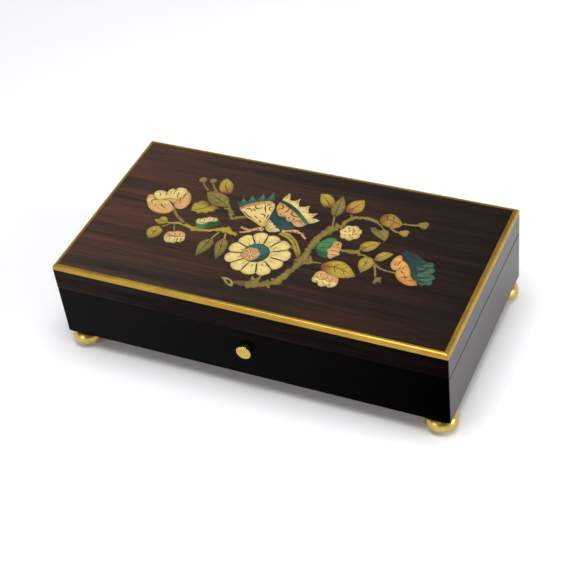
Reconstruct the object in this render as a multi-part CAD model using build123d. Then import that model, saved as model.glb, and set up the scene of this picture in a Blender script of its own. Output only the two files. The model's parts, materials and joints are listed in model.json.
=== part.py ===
"""Inlaid cylinder music box: a veneered case on four ball feet, with a hinged lid and a full movement.

Millimetres. The origin is on the surface the box stands on, under the middle of the box.
+X runs along the box to the right, +Y to the back and +Z up. The front is at -Y.
"""
from build123d import *
import math
import os

# ---------------------------------------------------------------- driving sizes
LENGTH = 310.0
DEPTH = 162.0
HEIGHT = 82.0
FOOT_HEIGHT = 15.5
SEAM_Z = 59.2
SEAM_GAP = 0.3
WALL = 9.0
EDGE_EASE = 0.6
CORNER_RADIUS = 0.8

BASE_THICKNESS = 5.0
BASE_REBATE = 4.0
MOULDING_WIDTH = 3.7
MOULDING_HEIGHT = 3.8
MOULDING_RADIUS = 2.6
VENEER_TOP = HEIGHT - 0.2
VENEER_THICKNESS = 0.7

HALF_X = LENGTH / 2
HALF_Y = DEPTH / 2
INNER_X = HALF_X - WALL
INNER_Y = HALF_Y - WALL
CASE_BOTTOM = FOOT_HEIGHT
CASE_TOP = SEAM_Z - SEAM_GAP / 2
LID_BOTTOM = SEAM_Z + SEAM_GAP / 2
LID_FRAME_TOP = HEIGHT - MOULDING_HEIGHT
FLOOR_Z = CASE_BOTTOM + BASE_THICKNESS

# feet
FOOT_RADIUS = 12.3
FOOT_HALF_HEIGHT = 7.7
FOOT_CENTRE_Z = 7.4
FOOT_INSET = 10.2
FOOT_COLLAR_RADIUS = 6.0
STUD_RADIUS = 2.0
CORNER_BLOCK_LEG = 20.0
CORNER_BLOCK_TOP = 34.0

# compartments
PARTITION_X = 10.0
PARTITION_THICKNESS = 4.0
DIVIDER_TOP = 56.0
FALSE_FLOOR_THICKNESS = 2.4
RING_BAY_BACK_Y = -24.0
MIDDLE_DIVIDER_X = 78.0
LINING = 1.2
PAD_THICKNESS = 3.0
RING_ROLL_COUNT = 4
RING_ROLL_HEIGHT = 12.0

# glass over the movement
GLASS_Z = 55.0
GLASS_THICKNESS = 2.5
CLEAT = 6.0

# hinges
HINGE_X = 95.0
HINGE_LENGTH = 25.0
HINGE_AXIS_Y = HALF_Y + 1.2
KNUCKLE_RADIUS = 1.75
HINGE_PIN_RADIUS = 0.75
LEAF_THICKNESS = 1.0
LEAF_REACH = 7.0
KNUCKLE_GAP = 0.3
HEEL_ANGLE = 47.75
HEEL_SPREAD = 16.0
HEEL_RADIUS = 4.6

# start and stop knob
KNOB_Z = 42.0
KNOB_RADIUS = 5.8
KNOB_THICKNESS = 1.3
KNOB_PROUD = 4.6
NECK_RADIUS = 4.4
NECK_END = 8.0
KNOB_STEM_RADIUS = 2.5
BUSH_RADIUS = 5.9
BUSH_RECESS = 1.4
BUSH_LIP = 1.5
ROD_RADIUS = 1.25
RUNNING = 0.06

# movement
BEDPLATE_BOTTOM = 24.5
BEDPLATE_TOP = 28.5
BEDPLATE_X = (-138.0, 5.0)
BEDPLATE_Y = (-42.0, 38.0)
AXIS_Y = 4.0
AXIS_Z = 42.0
CYLINDER_RADIUS = 11.5
CYLINDER_X = (-92.0, -22.0)
CYLINDER_WALL = 1.0
ARBOR_RADIUS = 1.5
TOOTH_COUNT = 50
COMB_GAP = 0.55
COMB_THICKNESS = 1.6

BARREL_X = -118.0
BARREL_RADIUS = 15.2
BARREL_FLOOR_Z = 29.2
BARREL_TOP_Z = 45.2
CROWN_TEETH = 60
CROWN_RADIUS = 17.1
CROWN_FACE = 3.0
PINION_TEETH = 20
WHEEL_TEETH = 64
WHEEL_MODULE = 0.35
LEAF_PINION_TEETH = 8
WORM_WHEEL_TEETH = 24
WORM_WHEEL_MODULE = 0.4
WORM_CENTRES = 6.7
WORM_MEAN_RADIUS = 1.75
WORM_ECCENTRICITY = 0.4
GOVERNOR_DROP = 6.0
GOVERNOR_X = -9.2
FAN_RADIUS = 6.3

LOW = (Align.CENTER, Align.CENTER, Align.MIN)
PARTS_FOLDER = "parts"
os.makedirs(PARTS_FOLDER, exist_ok=True)


# ---------------------------------------------------------------- helpers
def block(x, y, z):
    """A box from (low, high) pairs."""
    size = (x[1] - x[0], y[1] - y[0], z[1] - z[0])
    middle = ((x[0] + x[1]) / 2, (y[0] + y[1]) / 2, (z[0] + z[1]) / 2)
    return Pos(*middle) * Box(*size)


def bar(radius, start, end):
    """A round bar between two points."""
    a, b = Vector(*start), Vector(*end)
    plane = Plane(origin=a, z_dir=b - a)
    return extrude(plane * Circle(radius), (b - a).length)


def prism(points, z):
    """A closed outline in plan, from z[0] to z[1]."""
    outline = make_face(Polyline(*points, close=True))
    return extrude(Pos(0, 0, z[0]) * outline, z[1] - z[0])


def profile_along_x(points, x):
    """A closed outline of (y, z) points, from x[0] to x[1]."""
    plane = Plane(origin=(x[0], 0, 0), x_dir=(0, 1, 0), z_dir=(1, 0, 0))
    return extrude(plane * make_face(Polyline(*points, close=True)), x[1] - x[0])


def screw(head_radius, head_height, shank_radius, top, down, length):
    """A cheese-head screw: top is the head's upper middle, down the way the shank points."""
    top, down = Vector(*top), Vector(*down)
    seat = top + down * head_height
    head = bar(head_radius, tuple(top), tuple(seat))
    shank = bar(shank_radius, tuple(seat), tuple(seat + down * length))
    slot_plane = Plane(origin=top, z_dir=down)
    slot_size = (head_radius * 2.2, head_radius * 0.3, head_height * 0.5)
    slot = slot_plane * Pos(0, 0, head_height * 0.25) * Box(*slot_size)
    return head + shank - slot


def gather(solids):
    """Several separate solids as one exported group."""
    flat = []
    for shape in solids:
        flat += shape.solids()
    return Compound(children=flat)


def save(name, shape):
    shape.label = name
    export_step(shape, os.path.join(PARTS_FOLDER, name + ".step"))


def mitre(side):
    """The plan region of one side of a mitred frame, split at 45 degrees at the corners."""
    x, y = HALF_X + 1, HALF_Y + 1
    inset = WALL + 4
    xi, yi = x - inset, y - inset
    outlines = {
        "front": [(-x, -y), (x, -y), (xi, -yi), (-xi, -yi)],
        "back": [(x, y), (-x, y), (-xi, yi), (xi, yi)],
        "left": [(-x, y), (-x, -y), (-xi, -yi), (-xi, yi)],
        "right": [(x, -y), (x, y), (xi, yi), (xi, -yi)],
    }
    return prism(outlines[side], (0, HEIGHT + 1))


def one_solid(shape):
    """The only solid of a boolean result."""
    solids = shape.solids()
    if len(solids) != 1:
        raise ValueError(f"{len(solids)} solids where one was meant")
    return solids[0]


def rim(z):
    """A hollow rectangular frame as tall as z, with its four upright corners eased."""
    outer = block((-HALF_X, HALF_X), (-HALF_Y, HALF_Y), z)
    outer = fillet(outer.edges().filter_by(Axis.Z), CORNER_RADIUS)
    return outer


# ---------------------------------------------------------------- case
def hinge_relief():
    """What the hinges take out of the case and lid: knuckle groove at both hinges."""
    cuts = []
    for side in (-1, 1):
        middle = side * HINGE_X
        reach = HINGE_LENGTH / 2 + 0.3
        start = (middle - reach, HINGE_AXIS_Y, SEAM_Z)
        end = (middle + reach, HINGE_AXIS_Y, SEAM_Z)
        cuts.append(bar(KNUCKLE_RADIUS + 0.35, start, end))
    return cuts


def leaf_mortise(z):
    """The shallow pocket of each hinge leaf, between two heights."""
    cuts = []
    for side in (-1, 1):
        middle = side * HINGE_X
        x = (middle - HINGE_LENGTH / 2, middle + HINGE_LENGTH / 2)
        cuts.append(block(x, (HINGE_AXIS_Y - KNUCKLE_RADIUS - LEAF_REACH, HALF_Y + 1), z))
    return cuts


def hinge_screw_places():
    places = []
    for side in (-1, 1):
        for offset in (-8.0, 0.0, 8.0):
            places.append((side * HINGE_X + offset, HINGE_AXIS_Y - KNUCKLE_RADIUS - 3.6))
    return places


def case_walls():
    """Four mitred walls, rebated for the base board and bored for the knob's bush and the hinge screws."""
    shell = rim((CASE_BOTTOM, CASE_TOP))
    top_edges = shell.faces().sort_by(Axis.Z)[-1].edges()
    shell = chamfer(top_edges, EDGE_EASE)
    shell -= block((-INNER_X, INNER_X), (-INNER_Y, INNER_Y), (0, HEIGHT))
    rebate_x, rebate_y = INNER_X + BASE_REBATE, INNER_Y + BASE_REBATE
    shell -= block((-rebate_x, rebate_x), (-rebate_y, rebate_y), (0, FLOOR_Z))
    for cut in hinge_relief() + leaf_mortise((CASE_TOP - LEAF_THICKNESS, HEIGHT)):
        shell -= cut
    for x, y in hinge_screw_places():
        shell -= bar(0.8, (x, y, CASE_TOP - 9), (x, y, CASE_TOP))
    shell -= bar(NECK_RADIUS + 0.15, (0, -HALF_Y - 1, KNOB_Z), (0, -INNER_Y + 1, KNOB_Z))
    shell -= bar(BUSH_RADIUS, (0, -HALF_Y + BUSH_RECESS, KNOB_Z), (0, -INNER_Y + 1, KNOB_Z))
    for x, y in base_screw_places():
        shell -= bar(1.0, (x, y, CASE_BOTTOM), (x, y, FLOOR_Z + 9))
    for x, y in foot_places().values():
        shell -= bar(STUD_RADIUS, (x, y, 0), (x, y, CORNER_BLOCK_TOP - 2))
    for side in ("front", "back", "left", "right"):
        save(f"{side}_wall", one_solid(shell & mitre(side)))


def base_screw_places():
    along, across = INNER_X + 1.9, INNER_Y + 1.9
    places = [(x, side * across) for x in (-60.0, 60.0) for side in (-1, 1)]
    places += [(side * along, y) for y in (0.0,) for side in (-1, 1)]
    return places


def movement_screw_places():
    return [(-130.0, -34.0), (-2.0, -34.0), (-130.0, 30.0), (-2.0, 30.0)]


def foot_places():
    x, y = HALF_X - FOOT_INSET, HALF_Y - FOOT_INSET
    return {"front_left": (-x, -y), "front_right": (x, -y), "back_left": (-x, y), "back_right": (x, y)}


def base_board():
    x, y = INNER_X + BASE_REBATE, INNER_Y + BASE_REBATE
    board = block((-x, x), (-y, y), (CASE_BOTTOM, FLOOR_Z))
    board -= bar(7.0, (BARREL_X, AXIS_Y, 0), (BARREL_X, AXIS_Y, FLOOR_Z + 1))
    for px, py in movement_screw_places():
        board -= bar(1.75, (px, py, 0), (px, py, FLOOR_Z + 1))
        board -= bar(3.4, (px, py, 0), (px, py, CASE_BOTTOM + 2.0))
    for px, py in base_screw_places():
        board -= bar(1.0, (px, py, 0), (px, py, FLOOR_Z + 1))
        board -= bar(2.0, (px, py, 0), (px, py, CASE_BOTTOM + 1.2))
    for px, py in foot_places().values():
        board -= bar(STUD_RADIUS, (px, py, 0), (px, py, FLOOR_Z + 1))
    save("base_board", one_solid(board))


def corner_blocks():
    """Glue blocks in the four corners, which take the feet's studs."""
    blocks = []
    for sx in (-1, 1):
        for sy in (-1, 1):
            x, y = sx * INNER_X, sy * INNER_Y
            outline = [(x, y), (x - sx * CORNER_BLOCK_LEG, y), (x, y - sy * CORNER_BLOCK_LEG)]
            wedge = prism(outline, (FLOOR_Z, CORNER_BLOCK_TOP))
            px, py = sx * (HALF_X - FOOT_INSET), sy * (HALF_Y - FOOT_INSET)
            wedge -= bar(STUD_RADIUS, (px, py, 0), (px, py, CORNER_BLOCK_TOP - 2))
            blocks.append(wedge)
    save("corner_blocks", gather(blocks))


def feet():
    """Four pressed-ball feet with a flat under each and a blind hole for the stud."""
    ball = Sphere(1.0)
    ball = scale(ball, (FOOT_RADIUS, FOOT_RADIUS, FOOT_HALF_HEIGHT))
    ball = Pos(0, 0, FOOT_CENTRE_Z) * ball
    ball = ball & block((-20, 20), (-20, 20), (0, FOOT_HEIGHT))
    ball += bar(FOOT_COLLAR_RADIUS, (0, 0, FOOT_HEIGHT - 2.4), (0, 0, FOOT_HEIGHT))
    ball -= bar(STUD_RADIUS, (0, 0, 4.5), (0, 0, FOOT_HEIGHT + 1))
    stud = bar(STUD_RADIUS, (0, 0, 4.5), (0, 0, CORNER_BLOCK_TOP - 2))
    studs = []
    for name, (x, y) in foot_places().items():
        save(f"foot_{name}", one_solid(Pos(x, y, 0) * ball))
        studs.append(Pos(x, y, 0) * stud)
    save("foot_studs", gather(studs))


def case_screws():
    """The base board's wood screws and the movement's long screws, all driven from below."""
    up = (0, 0, 1)
    wood = [screw(2.0, 1.2, 1.0, (x, y, CASE_BOTTOM), up, 12.0) for x, y in base_screw_places()]
    length = BEDPLATE_TOP - 1.0 - CASE_BOTTOM - 2.0
    long = [screw(3.4, 2.0, 1.75, (x, y, CASE_BOTTOM), up, length) for x, y in movement_screw_places()]
    save("underside_screws", gather(wood + long))


# ---------------------------------------------------------------- compartments
def compartment_wood():
    """The wall beside the movement, the raised floor, and the two dividers on it."""
    right = PARTITION_X + PARTITION_THICKNESS
    partition = block((PARTITION_X, right), (-INNER_Y, INNER_Y), (FLOOR_Z, DIVIDER_TOP))
    save("movement_partition", partition)
    top = CORNER_BLOCK_TOP + FALSE_FLOOR_THICKNESS
    save("compartment_floor", block((right, INNER_X), (-INNER_Y, INNER_Y), (CORNER_BLOCK_TOP, top)))
    thick = PARTITION_THICKNESS
    cross = block((right, INNER_X), (RING_BAY_BACK_Y, RING_BAY_BACK_Y + thick), (top, DIVIDER_TOP))
    middle_x = (MIDDLE_DIVIDER_X, MIDDLE_DIVIDER_X + thick)
    middle = block(middle_x, (RING_BAY_BACK_Y + thick, INNER_Y), (top, DIVIDER_TOP))
    save("compartment_dividers", gather([cross, middle]))


def compartment_rooms():
    """The plan of each lined room, as (x pair, y pair)."""
    right = PARTITION_X + PARTITION_THICKNESS
    back = RING_BAY_BACK_Y + PARTITION_THICKNESS
    return {
        "ring": ((right, INNER_X), (-INNER_Y, RING_BAY_BACK_Y)),
        "left": ((right, MIDDLE_DIVIDER_X), (back, INNER_Y)),
        "right": ((MIDDLE_DIVIDER_X + PARTITION_THICKNESS, INNER_X), (back, INNER_Y)),
    }


def soft_linings():
    """Velvet-covered card round each room, a pad in each open room, and rolls that hold rings."""
    floor_top = CORNER_BLOCK_TOP + FALSE_FLOOR_THICKNESS
    linings = []
    for x, y in compartment_rooms().values():
        shell = block(x, y, (floor_top, DIVIDER_TOP))
        inside_x = (x[0] + LINING, x[1] - LINING)
        inside_y = (y[0] + LINING, y[1] - LINING)
        linings.append(shell - block(inside_x, inside_y, (floor_top + LINING, DIVIDER_TOP + 1)))
    save("compartment_linings", gather(linings))
    base = floor_top + LINING
    pads = []
    for room in ("left", "right"):
        x, y = compartment_rooms()[room]
        gap = LINING + 0.4
        pads.append(block((x[0] + gap, x[1] - gap), (y[0] + gap, y[1] - gap), (base, base + PAD_THICKNESS)))
    save("compartment_pads", gather(pads))
    x, y = compartment_rooms()["ring"]
    gap = LINING + 0.4
    width = (y[1] - y[0] - 2 * gap) / RING_ROLL_COUNT
    rolls = []
    for index in range(RING_ROLL_COUNT):
        low = y[0] + gap + index * width + 0.15
        roll = block((x[0] + gap, x[1] - gap), (low, low + width - 0.3), (base, base + RING_ROLL_HEIGHT))
        top_edges = roll.edges().filter_by(Axis.X).group_by(Axis.Z)[-1]
        rolls.append(fillet(top_edges, width * 0.42))
    save("ring_rolls", gather(rolls))


def glass_cover():
    """A glass sheet screwed down on two cleats over the movement."""
    x = (-INNER_X + 0.5, PARTITION_X - 0.5)
    y = (-INNER_Y + 0.5, INNER_Y - 0.5)
    glass = block(x, y, (GLASS_Z, GLASS_Z + GLASS_THICKNESS))
    places = [(px, py) for px in (x[0] + 8, x[1] - 8) for py in (y[0] + 3, y[1] - 3)]
    cleats = []
    for side in (-1, 1):
        edge = sorted((side * INNER_Y, side * (INNER_Y - CLEAT)))
        cleats.append(block((-INNER_X, PARTITION_X), edge, (GLASS_Z - CLEAT, GLASS_Z)))
    screws = []
    for px, py in places:
        glass -= bar(1.1, (px, py, GLASS_Z - 1), (px, py, GLASS_Z + GLASS_THICKNESS + 1))
        cleats = [cleat - bar(1.0, (px, py, GLASS_Z - 5), (px, py, GLASS_Z)) for cleat in cleats]
        top = (px, py, GLASS_Z + GLASS_THICKNESS + 1.0)
        screws.append(screw(2.1, 1.0, 1.0, top, (0, 0, -1), GLASS_THICKNESS + 5.0))
    save("glass_cover", one_solid(glass))
    save("glass_cleats", gather(cleats))
    save("glass_screws", gather(screws))


# ---------------------------------------------------------------- marquetry
# Plan millimetres on the lid: +X right, +Y back. Every flower and leaf is let right through the veneer.
PEONY = [(-120.4, 13.2), (-116.4, 19), (-109.6, 22), (-101, 28.4), (-92.6, 22.6), (-90, 16), (-93.4, 10.4),
         (-99.4, 4.6), (-107, 0), (-115.4, 4.4)]
LEFT_WING = [(-45, 22), (-36.6, 28.4), (-25, 32), (-23, 19.6), (-22, 8.6), (-31, 12.2), (-41, 18.8)]
RIGHT_WING = [(-17.6, 36), (-8.8, 35), (8, 25), (6.6, 17.6), (-2.4, 12), (-7, 10.2), (-12, 14), (-17.2, 18.4),
              (-17.2, 28)]
TULIP = [(88, -2.4), (91.6, 5.4), (98, 7.6), (109, 0.6), (115.6, -11.6), (107, -18.4), (97, -17), (91.6, -10)]
ROUND_FLOWERS = [
    ((-80.3, -24), 6.0),
    ((45, 18.8), 6.4),
    ((-64, -1.4), 5.6),
    ((47, -34.3), 6.4),
    ((36.8, -2), 7.2),
]
DAISY_CENTRE = (-11.5, -23.0)
DAISY_PETALS = 11
DAISY_RADIUS = 17.2
PETAL_RADIUS = 4.2

# each leaf is (stalk end, tip, half width)
LEAVES = [
    ((-96, -9.6), (-102.6, -9.8), 2.4),
    ((-97.4, -17.4), (-98.8, -29.6), 4.6),
    ((-53.2, -18.4), (-55.2, -36.6), 3.8),
    ((-43.2, -16.6), (-39.8, -35.4), 3.0),
    ((-65.5, 14.6), (-82, 13), 4.2),
    ((-58.5, 21.8), (-78.4, 31), 5.4),
    ((-64.6, 37), (-72.2, 49.6), 4.4),
    ((18.2, 43.6), (8.4, 54.2), 4.2),
    ((26.2, 34), (23.9, 54.6), 3.8),
    ((34.8, 42.8), (40.6, 55.4), 4.2),
    ((77, 38), (62.4, 41.2), 5.2),
    ((60.8, 27), (71, 20), 2.4),
    ((59.6, 4.4), (69, 13.6), 3.6),
    ((74.4, -2.6), (82, 4.6), 2.2),
    ((68.2, -5), (68, -18.4), 3.6),
    ((40.6, -20.8), (62.6, -24), 5.2),
]

# each branch is its middle line and its width at the first point, the middle and the last
BRANCHES = [
    ([(-10, -56), (0, -54), (12, -48), (19.6, -31), (22.7, -15), (23.4, 2), (32, 21.5)], (2.6, 3.4, 3.2)),
    ([(35.8, 24.5), (37.5, 31), (41, 35.3), (48, 37.4), (57, 37)], (1.8, 1.8, 1.4)),
    ([(-90, -9.7), (-84, -8.6), (-70, -11.2), (-60, -9.5), (-51, -6.4), (-41, -7)], (1.0, 1.6, 1.6)),
    ([(-94, 3.4), (-90, -0.8), (-83, -5.6)], (1.2, 1.4, 1.4)),
    ([(-51.6, 15), (-49, 11), (-43, 11), (-38.6, 12.6)], (1.2, 1.6, 1.6)),
    ([(47.6, -1.4), (56, -0.6), (59.6, -1.4)], (1.8, 1.8, 1.0)),
    ([(0, 2.6), (7.2, -2), (12, -8), (16.4, -14.6)], (1.6, 2.2, 1.6)),
]


def open_spline(points):
    return Spline(*[(x, y, 0) for x, y in points])


def closed_spline(points):
    """A face inside a smooth closed curve through the points."""
    return make_face(Spline(*[(x, y, 0) for x, y in points], periodic=True))


def leaf_face(stalk, tip, half_width):
    """A pointed leaf: two arcs that meet at the stalk and at the tip."""
    a, b = Vector(*stalk), Vector(*tip)
    middle = (a + b) / 2
    across = Vector(-(b - a).Y, (b - a).X).normalized() * half_width
    left = ThreePointArc(a, middle + across, b)
    right = ThreePointArc(b, middle - across, a)
    return make_face([left, right])


def branch_face(points, widths):
    """A branch that follows a smooth line, with its width changing along it."""
    line = open_spline(points)
    sides = ([], [])
    steps = 2 * len(points) - 2
    for step in range(steps + 1):
        share = step / steps
        if share < 0.5:
            width = widths[0] + (widths[1] - widths[0]) * share * 2
        else:
            width = widths[1] + (widths[2] - widths[1]) * (share * 2 - 1)
        place, heading = line @ share, line % share
        across = Vector(-heading.Y, heading.X).normalized() * width / 2
        sides[0].append(place + across)
        sides[1].append(place - across)
    left, right = Spline(*sides[0]), Spline(*reversed(sides[1]))
    ends = (Line(sides[0][-1], sides[1][-1]), Line(sides[1][0], sides[0][0]))
    return make_face([left, ends[0], right, ends[1]])


def daisy_face():
    """Petals as overlapping circles round a disc."""
    x, y = DAISY_CENTRE
    face = Pos(x, y) * Circle(DAISY_RADIUS)
    for index in range(DAISY_PETALS):
        turn = 2 * math.pi * index / DAISY_PETALS + 0.2
        petal_x, petal_y = x + DAISY_RADIUS * math.cos(turn), y + DAISY_RADIUS * math.sin(turn)
        face += Pos(petal_x, petal_y) * Circle(PETAL_RADIUS)
    return face


def marquetry(z):
    """The inlaid flowers and the inlaid leaves and branches, as two groups of flat pieces."""
    flower_faces = [closed_spline(points) for points in (PEONY, LEFT_WING, TULIP)]
    flower_faces.append(closed_spline(RIGHT_WING) - closed_spline(LEFT_WING))
    flower_faces.append(daisy_face())
    flower_faces += [Pos(*centre) * Circle(radius) for centre, radius in ROUND_FLOWERS]
    green_faces = [leaf_face(*leaf) for leaf in LEAVES]
    green_faces += [branch_face(*branch) for branch in BRANCHES]
    height = z[1] - z[0]
    flowers = [extrude(Pos(0, 0, z[0]) * face, height) for face in flower_faces]
    growth = extrude(Pos(0, 0, z[0]) * green_faces[0], height)
    for face in green_faces[1:]:
        growth += extrude(Pos(0, 0, z[0]) * face, height)
    for flower in flowers:
        growth -= flower
    large = [solid for solid in growth.solids() if solid.volume > 4.0]
    return gather(flowers), Compound(children=large)


# ---------------------------------------------------------------- lid
def lid_frame():
    """Four mitred rails, a stepped panel, its veneer, and the bright moulding round the top."""
    shell = rim((LID_BOTTOM, LID_FRAME_TOP))
    bottom_edges = shell.faces().sort_by(Axis.Z)[0].edges()
    shell = chamfer(bottom_edges, EDGE_EASE)
    shell -= block((-INNER_X, INNER_X), (-INNER_Y, INNER_Y), (0, HEIGHT))
    for cut in hinge_relief() + leaf_mortise((0, LID_BOTTOM + LEAF_THICKNESS)):
        shell -= cut
    for x, y in hinge_screw_places():
        shell -= bar(0.8, (x, y, LID_BOTTOM), (x, y, LID_BOTTOM + 9))
    for side in ("front", "back", "left", "right"):
        save(f"lid_{side}_rail", one_solid(shell & mitre(side)))
    panel_x, panel_y = HALF_X - MOULDING_WIDTH, HALF_Y - MOULDING_WIDTH
    veneer_bottom = VENEER_TOP - VENEER_THICKNESS
    panel = block((-panel_x, panel_x), (-panel_y, panel_y), (LID_FRAME_TOP, veneer_bottom))
    panel += block((-INNER_X, INNER_X), (-INNER_Y, INNER_Y), (LID_FRAME_TOP - 3.2, LID_FRAME_TOP))
    save("lid_panel", one_solid(panel))
    field = block((-panel_x, panel_x), (-panel_y, panel_y), (veneer_bottom, VENEER_TOP))
    flowers, foliage = marquetry((veneer_bottom, VENEER_TOP))
    for inlaid in flowers.solids() + foliage.solids():
        field -= inlaid
    save("lid_veneer", one_solid(field))
    save("marquetry_flowers", flowers)
    save("marquetry_foliage", foliage)
    moulding = rim((LID_FRAME_TOP, HEIGHT))
    top_edges = moulding.faces().sort_by(Axis.Z)[-1].edges()
    moulding = fillet(top_edges, MOULDING_RADIUS)
    moulding -= block((-panel_x, panel_x), (-panel_y, panel_y), (0, HEIGHT + 1))
    save("lid_moulding", gather([moulding & mitre(side) for side in ("front", "back", "left", "right")]))
    pad_x, pad_y = INNER_X - 0.4, INNER_Y - 0.4
    pad_top = LID_FRAME_TOP - 3.2
    save("lid_lining", block((-pad_x, pad_x), (-pad_y, pad_y), (pad_top - PAD_THICKNESS, pad_top)))


def heel(angle_low, angle_high, inner, x):
    """A wedge behind the hinge axis, between two angles above the horizontal."""
    points = []
    corners = (
        (inner, angle_low),
        (HEEL_RADIUS, angle_low),
        (HEEL_RADIUS, angle_high),
        (inner, angle_high),
    )
    for radius, angle in corners:
        turn = math.radians(angle)
        points.append((HINGE_AXIS_Y + radius * math.cos(turn), SEAM_Z + radius * math.sin(turn)))
    return profile_along_x(points, x)


def hinge_leaf(middle, knuckles, z, heel_low, heel_x):
    """One leaf: a plate, its knuckles, and the heel that stops the lid upright."""
    front = HINGE_AXIS_Y - KNUCKLE_RADIUS - LEAF_REACH
    clear = HINGE_AXIS_Y - KNUCKLE_RADIUS - KNUCKLE_GAP
    leaf = block((middle - HINGE_LENGTH / 2, middle + HINGE_LENGTH / 2), (front, clear), z)
    for x in knuckles:
        leaf += block(x, (front, HINGE_AXIS_Y), z)
        leaf += bar(KNUCKLE_RADIUS, (x[0], HINGE_AXIS_Y, SEAM_Z), (x[1], HINGE_AXIS_Y, SEAM_Z))
        leaf += heel(heel_low, heel_low + HEEL_SPREAD, 1.2, x)
    leaf += heel(heel_low, heel_low + HEEL_SPREAD, KNUCKLE_RADIUS + KNUCKLE_GAP, heel_x)
    return leaf


def hinges():
    """Two stop hinges: pins held in the case leaf's outer knuckles, lid leaf turning between them."""
    case_leaves, lid_leaves, pins = [], [], []
    half, third = HINGE_LENGTH / 2, HINGE_LENGTH / 6
    for side in (-1, 1):
        middle = side * HINGE_X
        outer = [(middle - half, middle - third - 0.15), (middle + third + 0.15, middle + half)]
        inner = [(middle - third + 0.15, middle + third - 0.15)]
        whole = (middle - half, middle + half)
        axis = ((middle - half - 1, HINGE_AXIS_Y, SEAM_Z), (middle + half + 1, HINGE_AXIS_Y, SEAM_Z))
        case_z = (CASE_TOP - LEAF_THICKNESS, CASE_TOP)
        lid_z = (LID_BOTTOM, LID_BOTTOM + LEAF_THICKNESS)
        case_leaf = hinge_leaf(middle, outer, case_z, -HEEL_ANGLE - HEEL_SPREAD, whole)
        lid_leaf = hinge_leaf(middle, inner, lid_z, HEEL_ANGLE, inner[0])
        case_leaf -= bar(HINGE_PIN_RADIUS, *axis)
        lid_leaf -= bar(HINGE_PIN_RADIUS + RUNNING, *axis)
        for x, y in hinge_screw_places():
            case_leaf -= bar(0.8, (x, y, CASE_TOP - 3), (x, y, CASE_TOP + 1))
            case_leaf -= bar(1.5, (x, y, CASE_TOP - 0.5), (x, y, CASE_TOP + 1))
            lid_leaf -= bar(0.8, (x, y, LID_BOTTOM - 1), (x, y, LID_BOTTOM + 3))
            lid_leaf -= bar(1.5, (x, y, LID_BOTTOM - 1), (x, y, LID_BOTTOM + 0.5))
        case_leaves.append(one_solid(case_leaf))
        lid_leaves.append(one_solid(lid_leaf))
        pins.append(bar(HINGE_PIN_RADIUS, (middle - half, *axis[0][1:]), (middle + half, *axis[0][1:])))
    save("hinge_case_leaves", gather(case_leaves))
    save("hinge_lid_leaves", gather(lid_leaves))
    save("hinge_pins", gather(pins))
    case = [screw(1.5, 0.5, 0.8, (x, y, CASE_TOP), (0, 0, -1), 8.0) for x, y in hinge_screw_places()]
    lid = [screw(1.5, 0.5, 0.8, (x, y, LID_BOTTOM), (0, 0, 1), 8.0) for x, y in hinge_screw_places()]
    save("hinge_case_screws", gather(case))
    save("hinge_lid_screws", gather(lid))


# ---------------------------------------------------------------- start and stop knob
ROD_END_Y = AXIS_Y + 14.2
FINGER_Y = AXIS_Y + 12.2
STEM_END_Y = -HALF_Y + 7.0


def knob():
    """Push button, its bush in the front wall, the long rod, and the finger that catches the fan."""
    front = -HALF_Y - KNOB_PROUD
    back = front + NECK_END
    button = bar(KNOB_RADIUS, (0, front, KNOB_Z), (0, front + KNOB_THICKNESS, KNOB_Z))
    button = fillet(button.edges().group_by(Axis.Y)[0], 0.5)
    neck = bar(NECK_RADIUS, (0, front + 0.7, KNOB_Z), (0, back, KNOB_Z))
    stem = bar(KNOB_STEM_RADIUS, (0, back - 1.0, KNOB_Z), (0, STEM_END_Y, KNOB_Z))
    body = button + neck + stem - bar(ROD_RADIUS, (0, STEM_END_Y - 5, KNOB_Z), (0, STEM_END_Y, KNOB_Z))
    save("front_knob", one_solid(body))
    bush = bar(BUSH_RADIUS, (0, -HALF_Y + BUSH_RECESS, KNOB_Z), (0, -INNER_Y, KNOB_Z))
    bush -= bar(NECK_RADIUS + RUNNING, (0, -HALF_Y, KNOB_Z), (0, -INNER_Y - BUSH_LIP, KNOB_Z))
    bush -= bar(KNOB_STEM_RADIUS + RUNNING, (0, -HALF_Y, KNOB_Z), (0, -INNER_Y + 1, KNOB_Z))
    save("knob_bush", one_solid(bush))
    save("knob_rod", bar(ROD_RADIUS, (0, STEM_END_Y - 5, KNOB_Z), (0, ROD_END_Y, KNOB_Z)))
    collar = bar(2.3, (0, FINGER_Y - 1.6, KNOB_Z), (0, FINGER_Y + 1.6, KNOB_Z))
    arm = block((-0.8, 0.8), (FINGER_Y - 0.7, FINGER_Y + 0.7), (KNOB_Z + 1.0, KNOB_Z + 6.0))
    tip = bar(0.6, (0.8, FINGER_Y, KNOB_Z + 5.2), (-5.1, FINGER_Y, KNOB_Z + 5.2))
    finger = collar + arm + tip - bar(ROD_RADIUS, (0, FINGER_Y - 3, KNOB_Z), (0, FINGER_Y + 3, KNOB_Z))
    save("stop_finger", one_solid(finger))


# ---------------------------------------------------------------- gears
def gear_outline(teeth, root, tip, root_share, tip_share, turn):
    """Straight-flanked teeth. The shares are of the tooth pitch; turn centres a tooth, in radians."""
    points = []
    pitch = 2 * math.pi / teeth
    corners = ((root, -root_share), (tip, -tip_share), (tip, tip_share), (root, root_share))
    for index in range(teeth):
        for radius, share in corners:
            angle = turn + index * pitch + share * pitch / 2
            points.append((radius * math.cos(angle), radius * math.sin(angle)))
    return make_face(Polyline(*points, close=True))


def gear_on_x(teeth, root, tip, root_share, tip_share, turn, centre, x):
    """A spur gear whose axis lies along X; turn is measured from +Y towards +Z."""
    plane = Plane(origin=(x[0], centre[0], centre[1]), x_dir=(0, 1, 0), z_dir=(1, 0, 0))
    return extrude(plane * gear_outline(teeth, root, tip, root_share, tip_share, turn), x[1] - x[0])


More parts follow.
